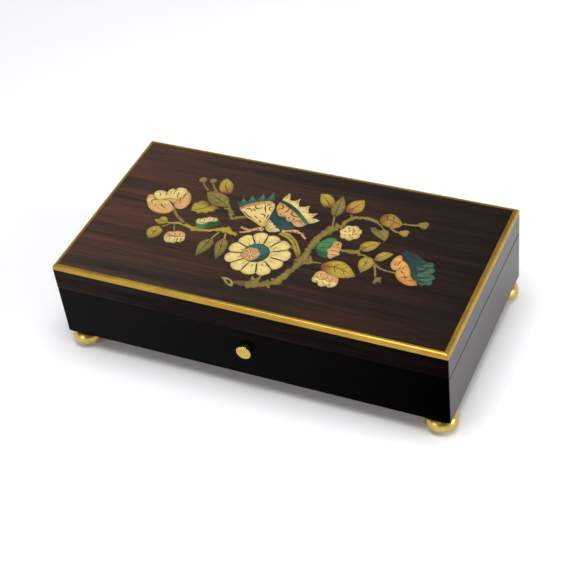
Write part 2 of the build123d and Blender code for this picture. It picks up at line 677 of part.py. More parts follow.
WHEEL_PITCH_RADIUS = WHEEL_TEETH * WHEEL_MODULE / 2
LEAF_PITCH_RADIUS = LEAF_PINION_TEETH * WHEEL_MODULE / 2
GOVERNOR_CENTRES = WHEEL_PITCH_RADIUS + LEAF_PITCH_RADIUS
GOVERNOR_Y = AXIS_Y + math.sqrt(GOVERNOR_CENTRES**2 - GOVERNOR_DROP**2)
GOVERNOR_Z = AXIS_Z - GOVERNOR_DROP
GOVERNOR_ANGLE = math.atan2(GOVERNOR_Z - AXIS_Z, GOVERNOR_Y - AXIS_Y)
WORM_WHEEL_RADIUS = WORM_WHEEL_TEETH * WORM_WHEEL_MODULE / 2
WORM_Y = GOVERNOR_Y + WORM_CENTRES
WORM_PITCH = math.pi * WORM_WHEEL_MODULE
CROWN_MODULE = 2 * CROWN_RADIUS / CROWN_TEETH
PINION_RADIUS = PINION_TEETH * CROWN_MODULE / 2
CROWN_PITCH_Z = AXIS_Z - PINION_RADIUS


# ---------------------------------------------------------------- spring barrel and key
def barrel():
    """A drum with a toothed crown on its flange, its cover, the spring in it and the winding arbor."""
    centre = (BARREL_X, AXIS_Y)
    root_z = CROWN_PITCH_Z - 0.75
    tip_z = CROWN_PITCH_Z + 0.5
    inner = CROWN_RADIUS - CROWN_FACE / 2
    outer = CROWN_RADIUS + CROWN_FACE / 2
    drum = Pos(*centre, BARREL_FLOOR_Z) * Cylinder(BARREL_RADIUS, BARREL_TOP_Z - BARREL_FLOOR_Z, align=LOW)
    drum += Pos(*centre, root_z - 2.2) * Cylinder(outer, 2.2, align=LOW)
    drum -= Pos(*centre, BARREL_FLOOR_Z + 1.2) * Cylinder(BARREL_RADIUS - 1.0, 30, align=LOW)
    pitch = 360 / CROWN_TEETH
    rise = tip_z - root_z
    profile = [(-0.42, -0.1), (0.42, -0.1), (0.40, 0.0), (0.17, rise), (-0.17, rise), (-0.40, 0.0)]
    tooth_plane = Plane(origin=(inner, 0, root_z), x_dir=(0, 1, 0), z_dir=(1, 0, 0))
    tooth = extrude(tooth_plane * make_face(Polyline(*profile, close=True)), CROWN_FACE - 0.1)
    teeth = [Pos(*centre, 0) * Rot(0, 0, (index + 0.5) * pitch) * tooth for index in range(CROWN_TEETH)]
    drum = drum.fuse(*teeth)
    drum -= bar(STUD_RADIUS + RUNNING, (*centre, 0), (*centre, HEIGHT))
    save("barrel_drum", one_solid(drum))
    cover = Pos(*centre, BARREL_TOP_Z - 1.0) * Cylinder(BARREL_RADIUS - 1.0, 1.0, align=LOW)
    cover -= bar(STUD_RADIUS + RUNNING, (*centre, 0), (*centre, HEIGHT))
    save("barrel_cover", one_solid(cover))
    arbor = bar(STUD_RADIUS, (*centre, 6.0), (*centre, BARREL_TOP_Z + 1.0))
    arbor += bar(3.4, (*centre, BARREL_FLOOR_Z + 1.5), (*centre, BARREL_TOP_Z - 1.3))
    arbor += bar(3.4, (*centre, FLOOR_Z + 0.5), (*centre, BEDPLATE_BOTTOM - 0.3))
    save("winding_arbor", one_solid(arbor))


def spiral_points(first, last, turns, offset):
    """Points along a flat spiral, moved outwards by an offset."""
    steps = int(turns * 12)
    points = []
    for index in range(steps + 1):
        share = index / steps
        angle = share * turns * 2 * math.pi
        radius = first + (last - first) * share + offset
        points.append((BARREL_X + radius * math.cos(angle), AXIS_Y + radius * math.sin(angle)))
    return points


def mainspring():
    """The wound strip inside the barrel."""
    inner, outer, turns, half_thickness = 4.6, 13.4, 6, 0.3
    inside = spiral_points(inner, outer, turns, -half_thickness)
    outside = spiral_points(inner, outer, turns, half_thickness)
    edges = [
        Spline(*inside),
        Line(inside[-1], outside[-1]),
        Spline(*reversed(outside)),
        Line(outside[0], inside[0]),
    ]
    strip = make_face(edges)
    strip = extrude(Pos(0, 0, BARREL_FLOOR_Z + 1.6) * strip, BARREL_TOP_Z - BARREL_FLOOR_Z - 3.2)
    save("mainspring", one_solid(strip))


def winding_key():
    """A two-winged key on the arbor's threaded end, in the space that the feet leave under the box."""
    x, y = BARREL_X, AXIS_Y
    hub = bar(3.6, (x, y, 4.5), (x, y, 15.0))
    hub = fillet(hub.edges().group_by(Axis.Z)[0], 0.8)
    wing = Pos(0, 0, 1.0) * SlotOverall(24.0, 9.0)
    plate = extrude(Plane(origin=(x, y + 0.9, 8.0), x_dir=(1, 0, 0), z_dir=(0, -1, 0)) * wing, 1.8)
    for side in (-1, 1):
        eye = (x + side * 8.0, y - 2, 8.0)
        plate -= bar(1.8, eye, (eye[0], y + 2, eye[2]))
    key = hub + plate - bar(STUD_RADIUS, (x, y, 6.0), (x, y, 16.0))
    save("winding_key", one_solid(key))


# ---------------------------------------------------------------- cylinder
def cylinder():
    """The cylinder with its end caps, arbor and pinion, and the wheel that drives the governor."""
    centre = (AXIS_Y, AXIS_Z)

    def along(radius, x):
        return bar(radius, (x[0], *centre), (x[1], *centre))

    tube = along(CYLINDER_RADIUS, CYLINDER_X) - along(CYLINDER_RADIUS - CYLINDER_WALL, CYLINDER_X)
    save("cylinder_tube", one_solid(tube))
    caps = []
    for low in (CYLINDER_X[0], CYLINDER_X[1] - 2.0):
        x = (low, low + 2.0)
        caps.append(along(CYLINDER_RADIUS - CYLINDER_WALL, x) - along(ARBOR_RADIUS, x))
    save("cylinder_caps", gather(caps))
    pinion_x = (BARREL_X + CROWN_RADIUS - CROWN_FACE / 2, BARREL_X + CROWN_RADIUS + CROWN_FACE / 2)
    down = -math.pi / 2
    root, tip = PINION_RADIUS - 0.68, PINION_RADIUS + 0.5
    pinion = gear_on_x(PINION_TEETH, root, tip, 0.46, 0.17, down, centre, pinion_x)
    arbor = pinion + along(ARBOR_RADIUS, (pinion_x[0], COCK_X["right"][1] + 1.5))
    save("cylinder_arbor", one_solid(arbor))
    wheel_x = (CYLINDER_X[1] + 1.5, CYLINDER_X[1] + 3.5)
    root, tip = WHEEL_PITCH_RADIUS - 0.5, WHEEL_PITCH_RADIUS + 0.28
    wheel = gear_on_x(WHEEL_TEETH, root, tip, 0.46, 0.16, GOVERNOR_ANGLE, centre, wheel_x)
    wheel += along(4.0, (CYLINDER_X[1], wheel_x[0]))
    for index in range(4):
        spoke_gap = math.pi / 4 + index * math.pi / 2
        y = AXIS_Y + 6.6 * math.cos(spoke_gap)
        z = AXIS_Z + 6.6 * math.sin(spoke_gap)
        wheel -= bar(2.6, (wheel_x[0] - 0.1, y, z), (wheel_x[1] + 1, y, z))
    wheel -= along(ARBOR_RADIUS, (CYLINDER_X[1] - 1, wheel_x[1] + 1))
    save("cylinder_wheel", one_solid(wheel))


COCK_X = {"left": (-98.0, -94.0), "right": (-17.0, -13.0)}


def cocks():
    """The two uprights that carry the cylinder's arbor."""
    uprights = []
    for name, x in COCK_X.items():
        upright = block(x, (AXIS_Y - 5.0, AXIS_Y + 5.0), (BEDPLATE_TOP, AXIS_Z))
        upright += bar(5.0, (x[0], AXIS_Y, AXIS_Z), (x[1], AXIS_Y, AXIS_Z))
        upright += block(x, (AXIS_Y - 13.0, AXIS_Y + 5.0), (BEDPLATE_TOP, BEDPLATE_TOP + 2.5))
        upright -= bar(ARBOR_RADIUS + RUNNING, (x[0] - 1, AXIS_Y, AXIS_Z), (x[1] + 1, AXIS_Y, AXIS_Z))
        upright -= bar(1.0, (*cock_screw_place(name), 0), (*cock_screw_place(name), HEIGHT))
        uprights.append(upright)
    save("cylinder_cocks", gather(uprights))


def cock_screw_place(name):
    x = COCK_X[name]
    return ((x[0] + x[1]) / 2, AXIS_Y - 9.5)


# ---------------------------------------------------------------- comb and bedplate
COMB_TIP_Y = AXIS_Y - CYLINDER_RADIUS - COMB_GAP
COMB_BACK_Y = COMB_TIP_Y - 30.0
COMB_Z = AXIS_Z - COMB_THICKNESS / 2
COMB_SCREW_Y = COMB_BACK_Y + 4.5
COMB_SCREW_COUNT = 5
SLIT = 0.3
LONG_TOOTH = 20.0
SHORT_TOOTH = 11.0


def comb_screw_places():
    span = CYLINDER_X[1] - CYLINDER_X[0]
    step = span / COMB_SCREW_COUNT
    return [(CYLINDER_X[0] + step * (index + 0.5), COMB_SCREW_Y) for index in range(COMB_SCREW_COUNT)]


def comb():
    """The steel comb: one plate slit into teeth that shorten from bass to treble."""
    plate = block(CYLINDER_X, (COMB_BACK_Y, COMB_TIP_Y), (COMB_Z, COMB_Z + COMB_THICKNESS))
    pitch = (CYLINDER_X[1] - CYLINDER_X[0]) / TOOTH_COUNT
    slits = []
    for index in range(1, TOOTH_COUNT):
        x = CYLINDER_X[0] + index * pitch
        reach = LONG_TOOTH + (SHORT_TOOTH - LONG_TOOTH) * index / TOOTH_COUNT
        slit_y = (COMB_TIP_Y - reach, COMB_TIP_Y + 1)
        slits.append(block((x - SLIT / 2, x + SLIT / 2), slit_y, (COMB_Z - 1, COMB_Z + 3)))
    plate = plate.cut(*slits)
    thinning = [
        (COMB_TIP_Y - SHORT_TOOTH, COMB_Z - 0.1),
        (COMB_TIP_Y + 1, COMB_Z - 0.1),
        (COMB_TIP_Y + 1, COMB_Z + 0.55),
    ]
    plate -= profile_along_x(thinning, (CYLINDER_X[0] - 1, CYLINDER_X[1] + 1))
    for x, y in comb_screw_places():
        plate -= bar(1.3, (x, y, 0), (x, y, HEIGHT))
    save("comb", one_solid(plate))
    riser_y = (COMB_BACK_Y - 1.0, COMB_BACK_Y + 9.0)
    riser = block((CYLINDER_X[0] - 1.5, CYLINDER_X[1] + 1.5), riser_y, (BEDPLATE_TOP, COMB_Z))
    for x, y in comb_screw_places():
        riser -= bar(1.3, (x, y, COMB_Z - 9), (x, y, HEIGHT))
    save("comb_riser", one_solid(riser))


def bedplate():
    """The cast plate that carries the movement, on four bosses over the base board."""
    plate = block(BEDPLATE_X, BEDPLATE_Y, (BEDPLATE_BOTTOM, BEDPLATE_TOP))
    plate = fillet(plate.edges().filter_by(Axis.Z), 5.0)
    for x, y in movement_screw_places():
        plate += bar(4.5, (x, y, FLOOR_Z), (x, y, BEDPLATE_BOTTOM + 1))
    for x, y in movement_screw_places():
        plate -= bar(1.75, (x, y, 0), (x, y, BEDPLATE_TOP - 1.0))
    plate -= bar(STUD_RADIUS + RUNNING, (BARREL_X, AXIS_Y, 0), (BARREL_X, AXIS_Y, HEIGHT))
    for x, y in plate_screw_places():
        plate -= bar(1.0, (x, y, BEDPLATE_TOP - 3), (x, y, HEIGHT))
    save("bedplate", one_solid(plate))


def plate_screw_places():
    """Where short screws enter the bedplate: two cocks and the governor's frame."""
    return [cock_screw_place("left"), cock_screw_place("right"), *governor_screw_places()]


def movement_screws():
    """The short screws of the cocks, the governor and the comb, from above."""
    down = (0, 0, -1)
    screws = []
    for name in COCK_X:
        screws.append(screw(1.9, 1.3, 1.0, (*cock_screw_place(name), BEDPLATE_TOP + 3.8), down, 5.0))
    for place in governor_screw_places():
        screws.append(screw(1.9, 1.3, 1.0, (*place, BEDPLATE_TOP + 2.5), down, 3.7))
    top = COMB_Z + COMB_THICKNESS + 1.9
    screws += [screw(2.5, 1.9, 1.3, (x, y, top), down, 9.5) for x, y in comb_screw_places()]
    for x, y in bridge_screw_places():
        screws.append(screw(1.4, 0.9, 0.8, (x, y, BRIDGE_Z[1] + 0.9), down, 5.0))
    save("movement_screws", gather(screws))


# ---------------------------------------------------------------- governor
FRAME_BASE = 1.2
GOVERNOR_LEFT_CHEEK = (-16.4, -14.6)
GOVERNOR_RIGHT_CHEEK = (-5.4, -3.6)
BRIDGE_Z = (51.2, 52.8)
POST_Y = (WORM_Y + FAN_RADIUS + 0.9, WORM_Y + FAN_RADIUS + 3.9)
WORM_PIVOT = 0.6


def governor_screw_places():
    return [(-14.5, POST_Y[1] + 2.6), (-4.5, POST_Y[1] + 2.6)]


def governor_frame():
    """One casting: base, two cheeks for the wheel's arbor, a post for the bridge, a guide for the rod."""
    base_z = (BEDPLATE_TOP, BEDPLATE_TOP + FRAME_BASE)
    frame = block((GOVERNOR_LEFT_CHEEK[0], 2.6), (GOVERNOR_Y - 4.0, POST_Y[1] + 5.2), base_z)
    for cheek in (GOVERNOR_LEFT_CHEEK, GOVERNOR_RIGHT_CHEEK):
        frame += block(cheek, (GOVERNOR_Y - 3.0, GOVERNOR_Y + 3.0), (BEDPLATE_TOP, GOVERNOR_Z))
        frame += bar(3.0, (cheek[0], GOVERNOR_Y, GOVERNOR_Z), (cheek[1], GOVERNOR_Y, GOVERNOR_Z))
    frame += block((GOVERNOR_X - 3.5, GOVERNOR_X + 3.5), POST_Y, (BEDPLATE_TOP, BRIDGE_Z[0]))
    frame += block((-2.6, 2.6), (GOVERNOR_Y - 4.0, GOVERNOR_Y - 1.0), (BEDPLATE_TOP, KNOB_Z))
    frame += bar(2.6, (0, GOVERNOR_Y - 4.0, KNOB_Z), (0, GOVERNOR_Y - 1.0, KNOB_Z))
    frame -= bar(ROD_RADIUS + RUNNING, (0, GOVERNOR_Y - 5, KNOB_Z), (0, GOVERNOR_Y, KNOB_Z))
    frame -= bar(0.8 + RUNNING, (-20, GOVERNOR_Y, GOVERNOR_Z), (0, GOVERNOR_Y, GOVERNOR_Z))
    frame -= bar(WORM_PIVOT + RUNNING, (GOVERNOR_X, WORM_Y, BEDPLATE_TOP + 0.2), (GOVERNOR_X, WORM_Y, 32))
    for x, y in governor_screw_places():
        frame -= bar(1.0, (x, y, 0), (x, y, HEIGHT))
    bridge_y = (WORM_Y - 2.6, POST_Y[1])
    for x, y in bridge_screw_places():
        frame -= bar(0.8, (x, y, BRIDGE_Z[0] - 4), (x, y, BRIDGE_Z[0]))
    save("governor_frame", one_solid(frame))
    bridge = block((GOVERNOR_X - 3.5, GOVERNOR_X + 3.5), bridge_y, BRIDGE_Z)
    bridge = fillet(bridge.edges().filter_by(Axis.Z).group_by(Axis.Y)[0], 2.4)
    axis = (GOVERNOR_X, WORM_Y)
    bridge -= bar(WORM_PIVOT + RUNNING, (*axis, BRIDGE_Z[0] - 1), (*axis, BRIDGE_Z[1] + 1))
    for x, y in bridge_screw_places():
        bridge -= bar(0.8, (x, y, 0), (x, y, HEIGHT))
    save("governor_bridge", one_solid(bridge))


def bridge_screw_places():
    y = (POST_Y[0] + POST_Y[1]) / 2
    return [(GOVERNOR_X - 1.9, y), (GOVERNOR_X + 1.9, y)]


def governor_wheel():
    """The leafed pinion on its arbor, and the small wheel that turns the worm."""
    centre = (GOVERNOR_Y, GOVERNOR_Z)
    pinion_x = (CYLINDER_X[1] + 1.2, CYLINDER_X[1] + 3.8)
    turn = GOVERNOR_ANGLE + math.pi + math.pi / LEAF_PINION_TEETH
    root, tip = LEAF_PITCH_RADIUS - 0.45, LEAF_PITCH_RADIUS + 0.28
    pinion = gear_on_x(LEAF_PINION_TEETH, root, tip, 0.36, 0.16, turn, centre, pinion_x)
    arbor = pinion + bar(0.8, (pinion_x[0], *centre), (GOVERNOR_RIGHT_CHEEK[1] + 0.4, *centre))
    save("governor_arbor", one_solid(arbor))
    x = (GOVERNOR_X - 0.5, GOVERNOR_X + 0.5)
    root, tip = WORM_WHEEL_RADIUS - 0.5, WORM_WHEEL_RADIUS + 0.4
    wheel = gear_on_x(WORM_WHEEL_TEETH, root, tip, 0.5, 0.12, 0.0, centre, x)
    wheel += bar(1.8, (x[0] - 1.2, *centre), (x[1] + 1.2, *centre))
    wheel -= bar(0.8, (x[0] - 2, *centre), (x[1] + 2, *centre))
    save("worm_wheel", one_solid(wheel))


def worm_and_fan():
    """The worm is an eccentric round twisted as it rises; the fan's two vanes sit above it."""
    turns = 6
    low = GOVERNOR_Z - turns / 2 * WORM_PITCH
    section = Pos(0, WORM_ECCENTRICITY, 0) * Circle(WORM_MEAN_RADIUS)
    thread = Solid.extrude_linear_with_rotation(
        section.face(), (0, 0, 0), (0, 0, turns * WORM_PITCH), 360.0 * turns
    )
    thread = Pos(GOVERNOR_X, WORM_Y, low) * thread
    high = low + turns * WORM_PITCH
    foot = BEDPLATE_TOP + 0.3
    axis = (GOVERNOR_X, WORM_Y)
    worm = thread + bar(1.2, (*axis, BEDPLATE_TOP + FRAME_BASE + 0.3), (*axis, low))
    worm += bar(1.2, (*axis, high), (*axis, BRIDGE_Z[0] - 0.4))
    worm += bar(WORM_PIVOT, (*axis, foot), (*axis, BEDPLATE_TOP + FRAME_BASE + 0.3))
    worm += bar(WORM_PIVOT, (*axis, BRIDGE_Z[0] - 0.4), (*axis, BRIDGE_Z[1] - 0.2))
    save("worm", one_solid(worm))
    fan_z = (high + 3.0, BRIDGE_Z[0] - 1.2)
    fan = bar(2.0, (*axis, fan_z[0]), (*axis, fan_z[0] + 3.0))
    vane_x = (GOVERNOR_X - 0.3, GOVERNOR_X + 0.3)
    fan += block(vane_x, (WORM_Y - FAN_RADIUS, WORM_Y + FAN_RADIUS), fan_z)
    fan -= bar(1.2, (*axis, 0), (*axis, HEIGHT))
    save("governor_fan", gather([fan]))


case_walls()
base_board()
corner_blocks()
feet()
case_screws()
compartment_wood()
soft_linings()
glass_cover()
lid_frame()
hinges()
knob()
barrel()
mainspring()
winding_key()
cylinder()
cocks()
comb()
bedplate()
movement_screws()
governor_frame()
governor_wheel()
worm_and_fan()
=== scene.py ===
"""Looks for the cylinder music box: woods, gilt, velvet, the lid's marquetry and the cylinder's pins."""
import json
import math
import random

import bpy
from mathutils import Matrix, Vector, geometry, noise


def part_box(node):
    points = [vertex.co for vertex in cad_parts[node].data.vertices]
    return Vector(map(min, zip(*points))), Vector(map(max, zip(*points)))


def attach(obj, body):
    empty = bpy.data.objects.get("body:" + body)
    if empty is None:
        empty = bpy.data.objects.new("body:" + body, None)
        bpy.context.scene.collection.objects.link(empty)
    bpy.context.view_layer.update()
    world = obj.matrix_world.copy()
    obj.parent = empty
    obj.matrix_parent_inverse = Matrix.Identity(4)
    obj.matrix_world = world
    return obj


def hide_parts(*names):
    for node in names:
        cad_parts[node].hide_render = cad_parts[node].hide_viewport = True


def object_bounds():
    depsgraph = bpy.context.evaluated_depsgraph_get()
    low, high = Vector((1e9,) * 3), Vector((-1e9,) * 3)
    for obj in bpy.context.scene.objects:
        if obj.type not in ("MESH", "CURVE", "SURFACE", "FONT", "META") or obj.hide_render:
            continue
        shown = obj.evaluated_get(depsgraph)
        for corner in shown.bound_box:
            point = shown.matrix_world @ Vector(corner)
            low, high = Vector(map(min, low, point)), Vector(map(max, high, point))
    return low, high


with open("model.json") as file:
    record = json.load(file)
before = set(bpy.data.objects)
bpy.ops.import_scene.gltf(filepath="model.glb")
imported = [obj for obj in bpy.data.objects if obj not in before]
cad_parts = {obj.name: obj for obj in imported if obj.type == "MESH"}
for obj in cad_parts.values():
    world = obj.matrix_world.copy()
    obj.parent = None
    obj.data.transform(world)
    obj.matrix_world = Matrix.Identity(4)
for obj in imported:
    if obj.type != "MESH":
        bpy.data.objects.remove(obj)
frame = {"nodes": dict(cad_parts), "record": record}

MM = 0.001
CAD_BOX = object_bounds()
NODES = frame["nodes"]


# ---------------------------------------------------------------- materials
def linear(colour):
    """A screen colour of three 0 to 255 numbers, as linear light."""
    light = []
    for value in colour:
        share = value / 255
        light.append(share / 12.92 if share < 0.04045 else ((share + 0.055) / 1.055) ** 2.4)
    return (*light, 1.0)


class Finish:
    """One material and short calls that add nodes to it."""

    def __init__(self, name, roughness=0.4, metallic=0.0):
        self.material = bpy.data.materials.new(name)
        self.material.use_nodes = True
        self.tree = self.material.node_tree
        self.shader = self.tree.nodes["Principled BSDF"]
        self.shader.inputs["Roughness"].default_value = roughness
        self.shader.inputs["Metallic"].default_value = metallic
        self.place = self.tree.nodes.new("ShaderNodeTexCoord").outputs["Object"]

    def set(self, **values):
        """Fixed values for the shader's inputs, with underscores for the spaces in their names."""
        for name, value in values.items():
            self.shader.inputs[name.replace("_", " ")].default_value = value

    def link(self, output, name):
        """A value that varies over the surface, for one of the shader's inputs."""
        self.tree.links.new(output, self.shader.inputs[name])

    def noise(self, stretch, detail=5.0, distortion=0.0, roughness=0.55):
        """Noise whose features are 1 / stretch metres long on each axis."""
        mapping = self.tree.nodes.new("ShaderNodeMapping")
        mapping.inputs["Scale"].default_value = stretch
        texture = self.tree.nodes.new("ShaderNodeTexNoise")
        texture.inputs["Scale"].default_value = 1.0
        texture.inputs["Detail"].default_value = detail
        texture.inputs["Distortion"].default_value = distortion
        texture.inputs["Roughness"].default_value = roughness
        self.tree.links.new(self.place, mapping.inputs["Vector"])
        self.tree.links.new(mapping.outputs["Vector"], texture.inputs["Vector"])
        return texture.outputs["Fac"]

    def ramp(self, value, *stops):
        """Colours or greys at positions along a value."""
        node = self.tree.nodes.new("ShaderNodeValToRGB")
        bands = node.color_ramp.elements
        while len(bands) < len(stops):
            bands.new(0.5)
        for band, (position, colour) in zip(bands, stops):
            band.position = position
            band.color = colour if isinstance(colour, tuple) else (colour, colour, colour, 1.0)
        self.tree.links.new(value, node.inputs["Fac"])
        return node.outputs["Color"]

    def lengthwise(self, left, right):
        """A grey that changes from the left end of the box to the right end."""
        split = self.tree.nodes.new("ShaderNodeSeparateXYZ")
        self.tree.links.new(self.place, split.inputs["Vector"])
        spread = self.tree.nodes.new("ShaderNodeMapRange")
        spread.inputs["From Min"].default_value = CAD_BOX[0][0]
        spread.inputs["From Max"].default_value = CAD_BOX[1][0]
        self.tree.links.new(split.outputs["X"], spread.inputs["Value"])
        return self.ramp(spread.outputs["Result"], (0.0, left), (1.0, right))

    def mix(self, a, b, share=1.0):
        """One colour multiplied by another, by a share from 0 to 1."""
        node = self.tree.nodes.new("ShaderNodeMix")
        node.data_type = "RGBA"
        node.blend_type = "MULTIPLY"
        node.inputs["Factor"].default_value = share
        self.tree.links.new(a, node.inputs["A"])
        self.tree.links.new(b, node.inputs["B"])
        return node.outputs["Result"]

    def bump(self, height, depth, strength=0.6):
        """Fine relief from a height, with its depth in metres."""
        node = self.tree.nodes.new("ShaderNodeBump")
        node.inputs["Strength"].default_value = strength
        node.inputs["Distance"].default_value = depth
        self.tree.links.new(height, node.inputs["Height"])
        self.link(node.outputs["Normal"], "Normal")


def along(axis, fine, coarse):
    """A noise stretch with long features on the grain's axis and short ones across it."""
    return tuple(coarse if index == axis else fine for index in range(3))


def rosewood(name, axis, dark, middle, streak, gloss, ends=(1.0, 1.0)):
    """Lacquered rosewood veneer: broad figure, dark growth lines and fine pores, and, where ends are given,
    painted light that makes the colour paler at the left end and darker at the right, as if lit from the
    left.
    """
    wood = Finish(name, roughness=0.5)
    figure = wood.ramp(
        wood.noise(along(axis, 74, 3.4), 8, 1.1, 0.66),
        (0.30, dark), (0.46, middle), (0.58, streak), (0.66, middle), (0.80, streak),
    )
    lines = wood.ramp(wood.noise(along(axis, 520, 12.0), 5, 0.4), (0.34, 0.60), (0.58, 1.0))
    drift = wood.noise(along(axis, 26, 5.5), 4, 0.8)
    broad = wood.ramp(drift, (0.34, (0.82, 0.92, 0.96, 1)), (0.68, (1.20, 1.05, 1.00, 1)))
    pores = wood.noise(along(axis, 2300, 60), 2, 0.0)
    pore_mask = wood.ramp(pores, (0.33, 0.30), (0.41, 1.0))
    colour = wood.mix(wood.mix(wood.mix(figure, lines, 0.55), broad), pore_mask, 0.45)
    # Painted light: the colour is multiplied by a grey that runs from the left end to the right, lighter on
    # the side the light comes from.
    wood.link(wood.mix(colour, wood.lengthwise(*ends)), "Base Color")
    wood.link(wood.ramp(wood.noise((260, 260, 260), 3), (0.3, 0.44), (0.7, 0.60)), "Roughness")
    wood.link(wood.lengthwise(*gloss), "Coat Weight")
    wood.set(Coat_Roughness=0.06, Coat_IOR=1.5, Specular_IOR_Level=0.0)
    wood.bump(pore_mask, 0.00001, 0.25)
    return wood.material


def stained_wood(name, axis, dark, light, roughness):
    """Plain solid wood with a satin stain, for the parts inside and underneath."""
    wood = Finish(name, roughness=roughness)
    grain = wood.ramp(wood.noise(along(axis, 110, 5), 8, 1.1), (0.3, dark), (0.52, light), (0.72, dark))
    fibres = wood.ramp(wood.noise(along(axis, 1500, 40), 3), (0.3, 0.62), (0.6, 1.0))
    wood.link(wood.mix(grain, fibres, 0.8), "Base Color")
    wood.link(wood.ramp(fibres, (0.3, roughness + 0.2), (1.0, roughness)), "Roughness")
    wood.bump(fibres, 0.00006)
    return wood.material


def metal(name, colour, worn, roughness, stretch, grain, depth):
    """Metal with tool marks at a given scale, cloudy tarnish and slightly uneven polish."""
    finish = Finish(name, roughness=roughness, metallic=1.0)
    tarnish = finish.ramp(finish.noise((70, 70, 70), 6, 0.6), (0.36, worn), (0.60, colour))
    marks = finish.noise(stretch, 4)
    shade = finish.ramp(marks, (0.3, 1.0 - grain), (0.7, 1.0))
    finish.link(finish.mix(tarnish, shade), "Base Color")
    clouds = finish.noise((45, 45, 45), 3)
    finish.link(finish.ramp(clouds, (0.35, roughness), (0.70, roughness * 1.25)), "Roughness")
    finish.bump(marks, depth, 0.5)
    return finish.material


def velvet(name, colour, deep):
    """Short pile: brushed patches, fine tufts and a bright edge sheen."""
    cloth = Finish(name, roughness=0.92)
    brushed = cloth.ramp(cloth.noise((55, 38, 55), 4, 1.2), (0.35, deep), (0.66, colour))
    tufts = cloth.noise((4200, 4200, 4200), 2)
    cloth.link(cloth.mix(brushed, cloth.ramp(tufts, (0.3, 0.55), (0.7, 1.15))), "Base Color")
    cloth.set(Sheen_Weight=0.9, Sheen_Roughness=0.35, Sheen_Tint=(0.95, 0.35, 0.36, 1.0))
    cloth.set(Specular_IOR_Level=0.1)
    cloth.bump(tufts, 0.00025, 0.8)
    return cloth.material


def clear_glass(name):
    """Clean sheet glass with faint smears."""
    sheet = Finish(name, roughness=0.02)
    smears = sheet.noise((35, 24, 35), 5, 0.8)
    sheet.link(sheet.ramp(smears, (0.42, 0.012), (0.8, 0.06)), "Roughness")
    sheet.link(sheet.ramp(smears, (0.2, (0.97, 0.99, 0.98, 1)), (0.9, (0.93, 0.97, 0.95, 1))), "Base Color")
    sheet.set(Transmission_Weight=1.0, IOR=1.5)
    return sheet.material


def veneer_colours(name):
    """Dyed and sand-shaded veneers: each inlaid piece stores its colour, and the grain goes over it."""
    wood = Finish(name, roughness=0.45)
    stored = wood.tree.nodes.new("ShaderNodeAttribute")
    stored.attribute_name = "tint"
    fibres = wood.ramp(wood.noise((240, 1900, 1900), 3, 0.2), (0.32, 0.60), (0.62, 0.84))
    flecks = wood.ramp(wood.noise((150, 620, 620), 4, 0.5), (0.30, 0.80), (0.55, 1.0))
    wood.link(wood.mix(wood.mix(stored.outputs["Color"], fibres), flecks), "Base Color")
    wood.link(wood.ramp(fibres, (0.6, 0.52), (0.84, 0.40)), "Roughness")
    wood.set(Coat_Weight=0.8, Coat_Roughness=0.06, Coat_IOR=1.5, Specular_IOR_Level=0.25)
    wood.bump(fibres, 0.00001, 0.25)
    return wood.material


BLACK_BROWN = (0.0145, 0.0092, 0.0068, 1)
DARK_BROWN = (0.0230, 0.0132, 0.0094, 1)
RED_BROWN = (0.0400, 0.0190, 0.0124, 1)
RAIL_BLACK = (0.0042, 0.0027, 0.0023, 1)
RAIL_BROWN = (0.0110, 0.0055, 0.0040, 1)
# Painted shade: the walls' colours are near-black, slightly bluish copies of the rosewood colours, far
# darker than the lid's, to stand in for how dark the front face looks under the studio light.
SHADED_WALL_BLACK = (0.0022, 0.0029, 0.0031, 1)
SHADED_WALL_BROWN = (0.0044, 0.0042, 0.0040, 1)

FINISHES = {
    # The last pair of numbers on the lid, rail and wall woods is painted light: the colour is brightened at
    # the left end and darkened at the right.
    "lid_wood": rosewood("lid_rosewood", 0, BLACK_BROWN, DARK_BROWN, RED_BROWN, (0.8, 0.8), (1.95, 0.40)),
    "rail_wood": rosewood("rail_rosewood", 0, RAIL_BLACK, RAIL_BROWN, DARK_BROWN, (0.10, 0.02), (1.3, 0.20)),
    "shaded_wall_wood": rosewood("shaded_wall_rosewood", 0, SHADED_WALL_BLACK, SHADED_WALL_BROWN, RAIL_BLACK, (0.09, 0.0), (1.4, 0.15)),
    "end_wood": rosewood("end_rosewood", 1, RAIL_BLACK, RAIL_BROWN, DARK_BROWN, (0.70, 0.70)),
    "inner_wood": stained_wood("inner_mahogany", 0, (0.10, 0.040, 0.018, 1), (0.20, 0.085, 0.035, 1), 0.38),
    "base_wood": stained_wood("base_beech", 0, (0.13, 0.070, 0.035, 1), (0.26, 0.155, 0.085, 1), 0.62),
    "gilt_moulding": metal(
        "gilt_edge", (0.50, 0.31, 0.050, 1), (0.43, 0.26, 0.038, 1), 0.36, (60, 60, 60), 0.05, 2e-7
    ),
    "brass": metal(
        "polished_brass", (0.60, 0.45, 0.12, 1), (0.53, 0.38, 0.09, 1), 0.24, (60, 60, 180), 0.04, 5e-7
    ),
    "movement_brass": metal(
        "brushed_brass", (0.86, 0.60, 0.24, 1), (0.70, 0.46, 0.17, 1), 0.30, (220, 1300, 1300), 0.10, 1.5e-6
    ),
    "steel": metal(
        "ground_steel", (0.66, 0.67, 0.69, 1), (0.56, 0.56, 0.58, 1), 0.30, (1300, 260, 1300), 0.12, 1.5e-6
    ),
    "cast_plate": metal(
        "bronzed_casting", (0.62, 0.46, 0.22, 1), (0.50, 0.36, 0.16, 1), 0.42, (900, 900, 900), 0.25, 4e-5
    ),
    "velvet": velvet("wine_velvet", (0.27, 0.011, 0.026, 1), (0.18, 0.007, 0.017, 1)),
    "glass": clear_glass("cover_glass"),
    "inlay": veneer_colours("marquetry_veneers"),
}
WOOD_OF = {
    "lid_veneer": "lid_wood",
    "lid_front_rail": "rail_wood",
    "lid_back_rail": "rail_wood",
    "front_wall": "shaded_wall_wood",
    "back_wall": "shaded_wall_wood",
}


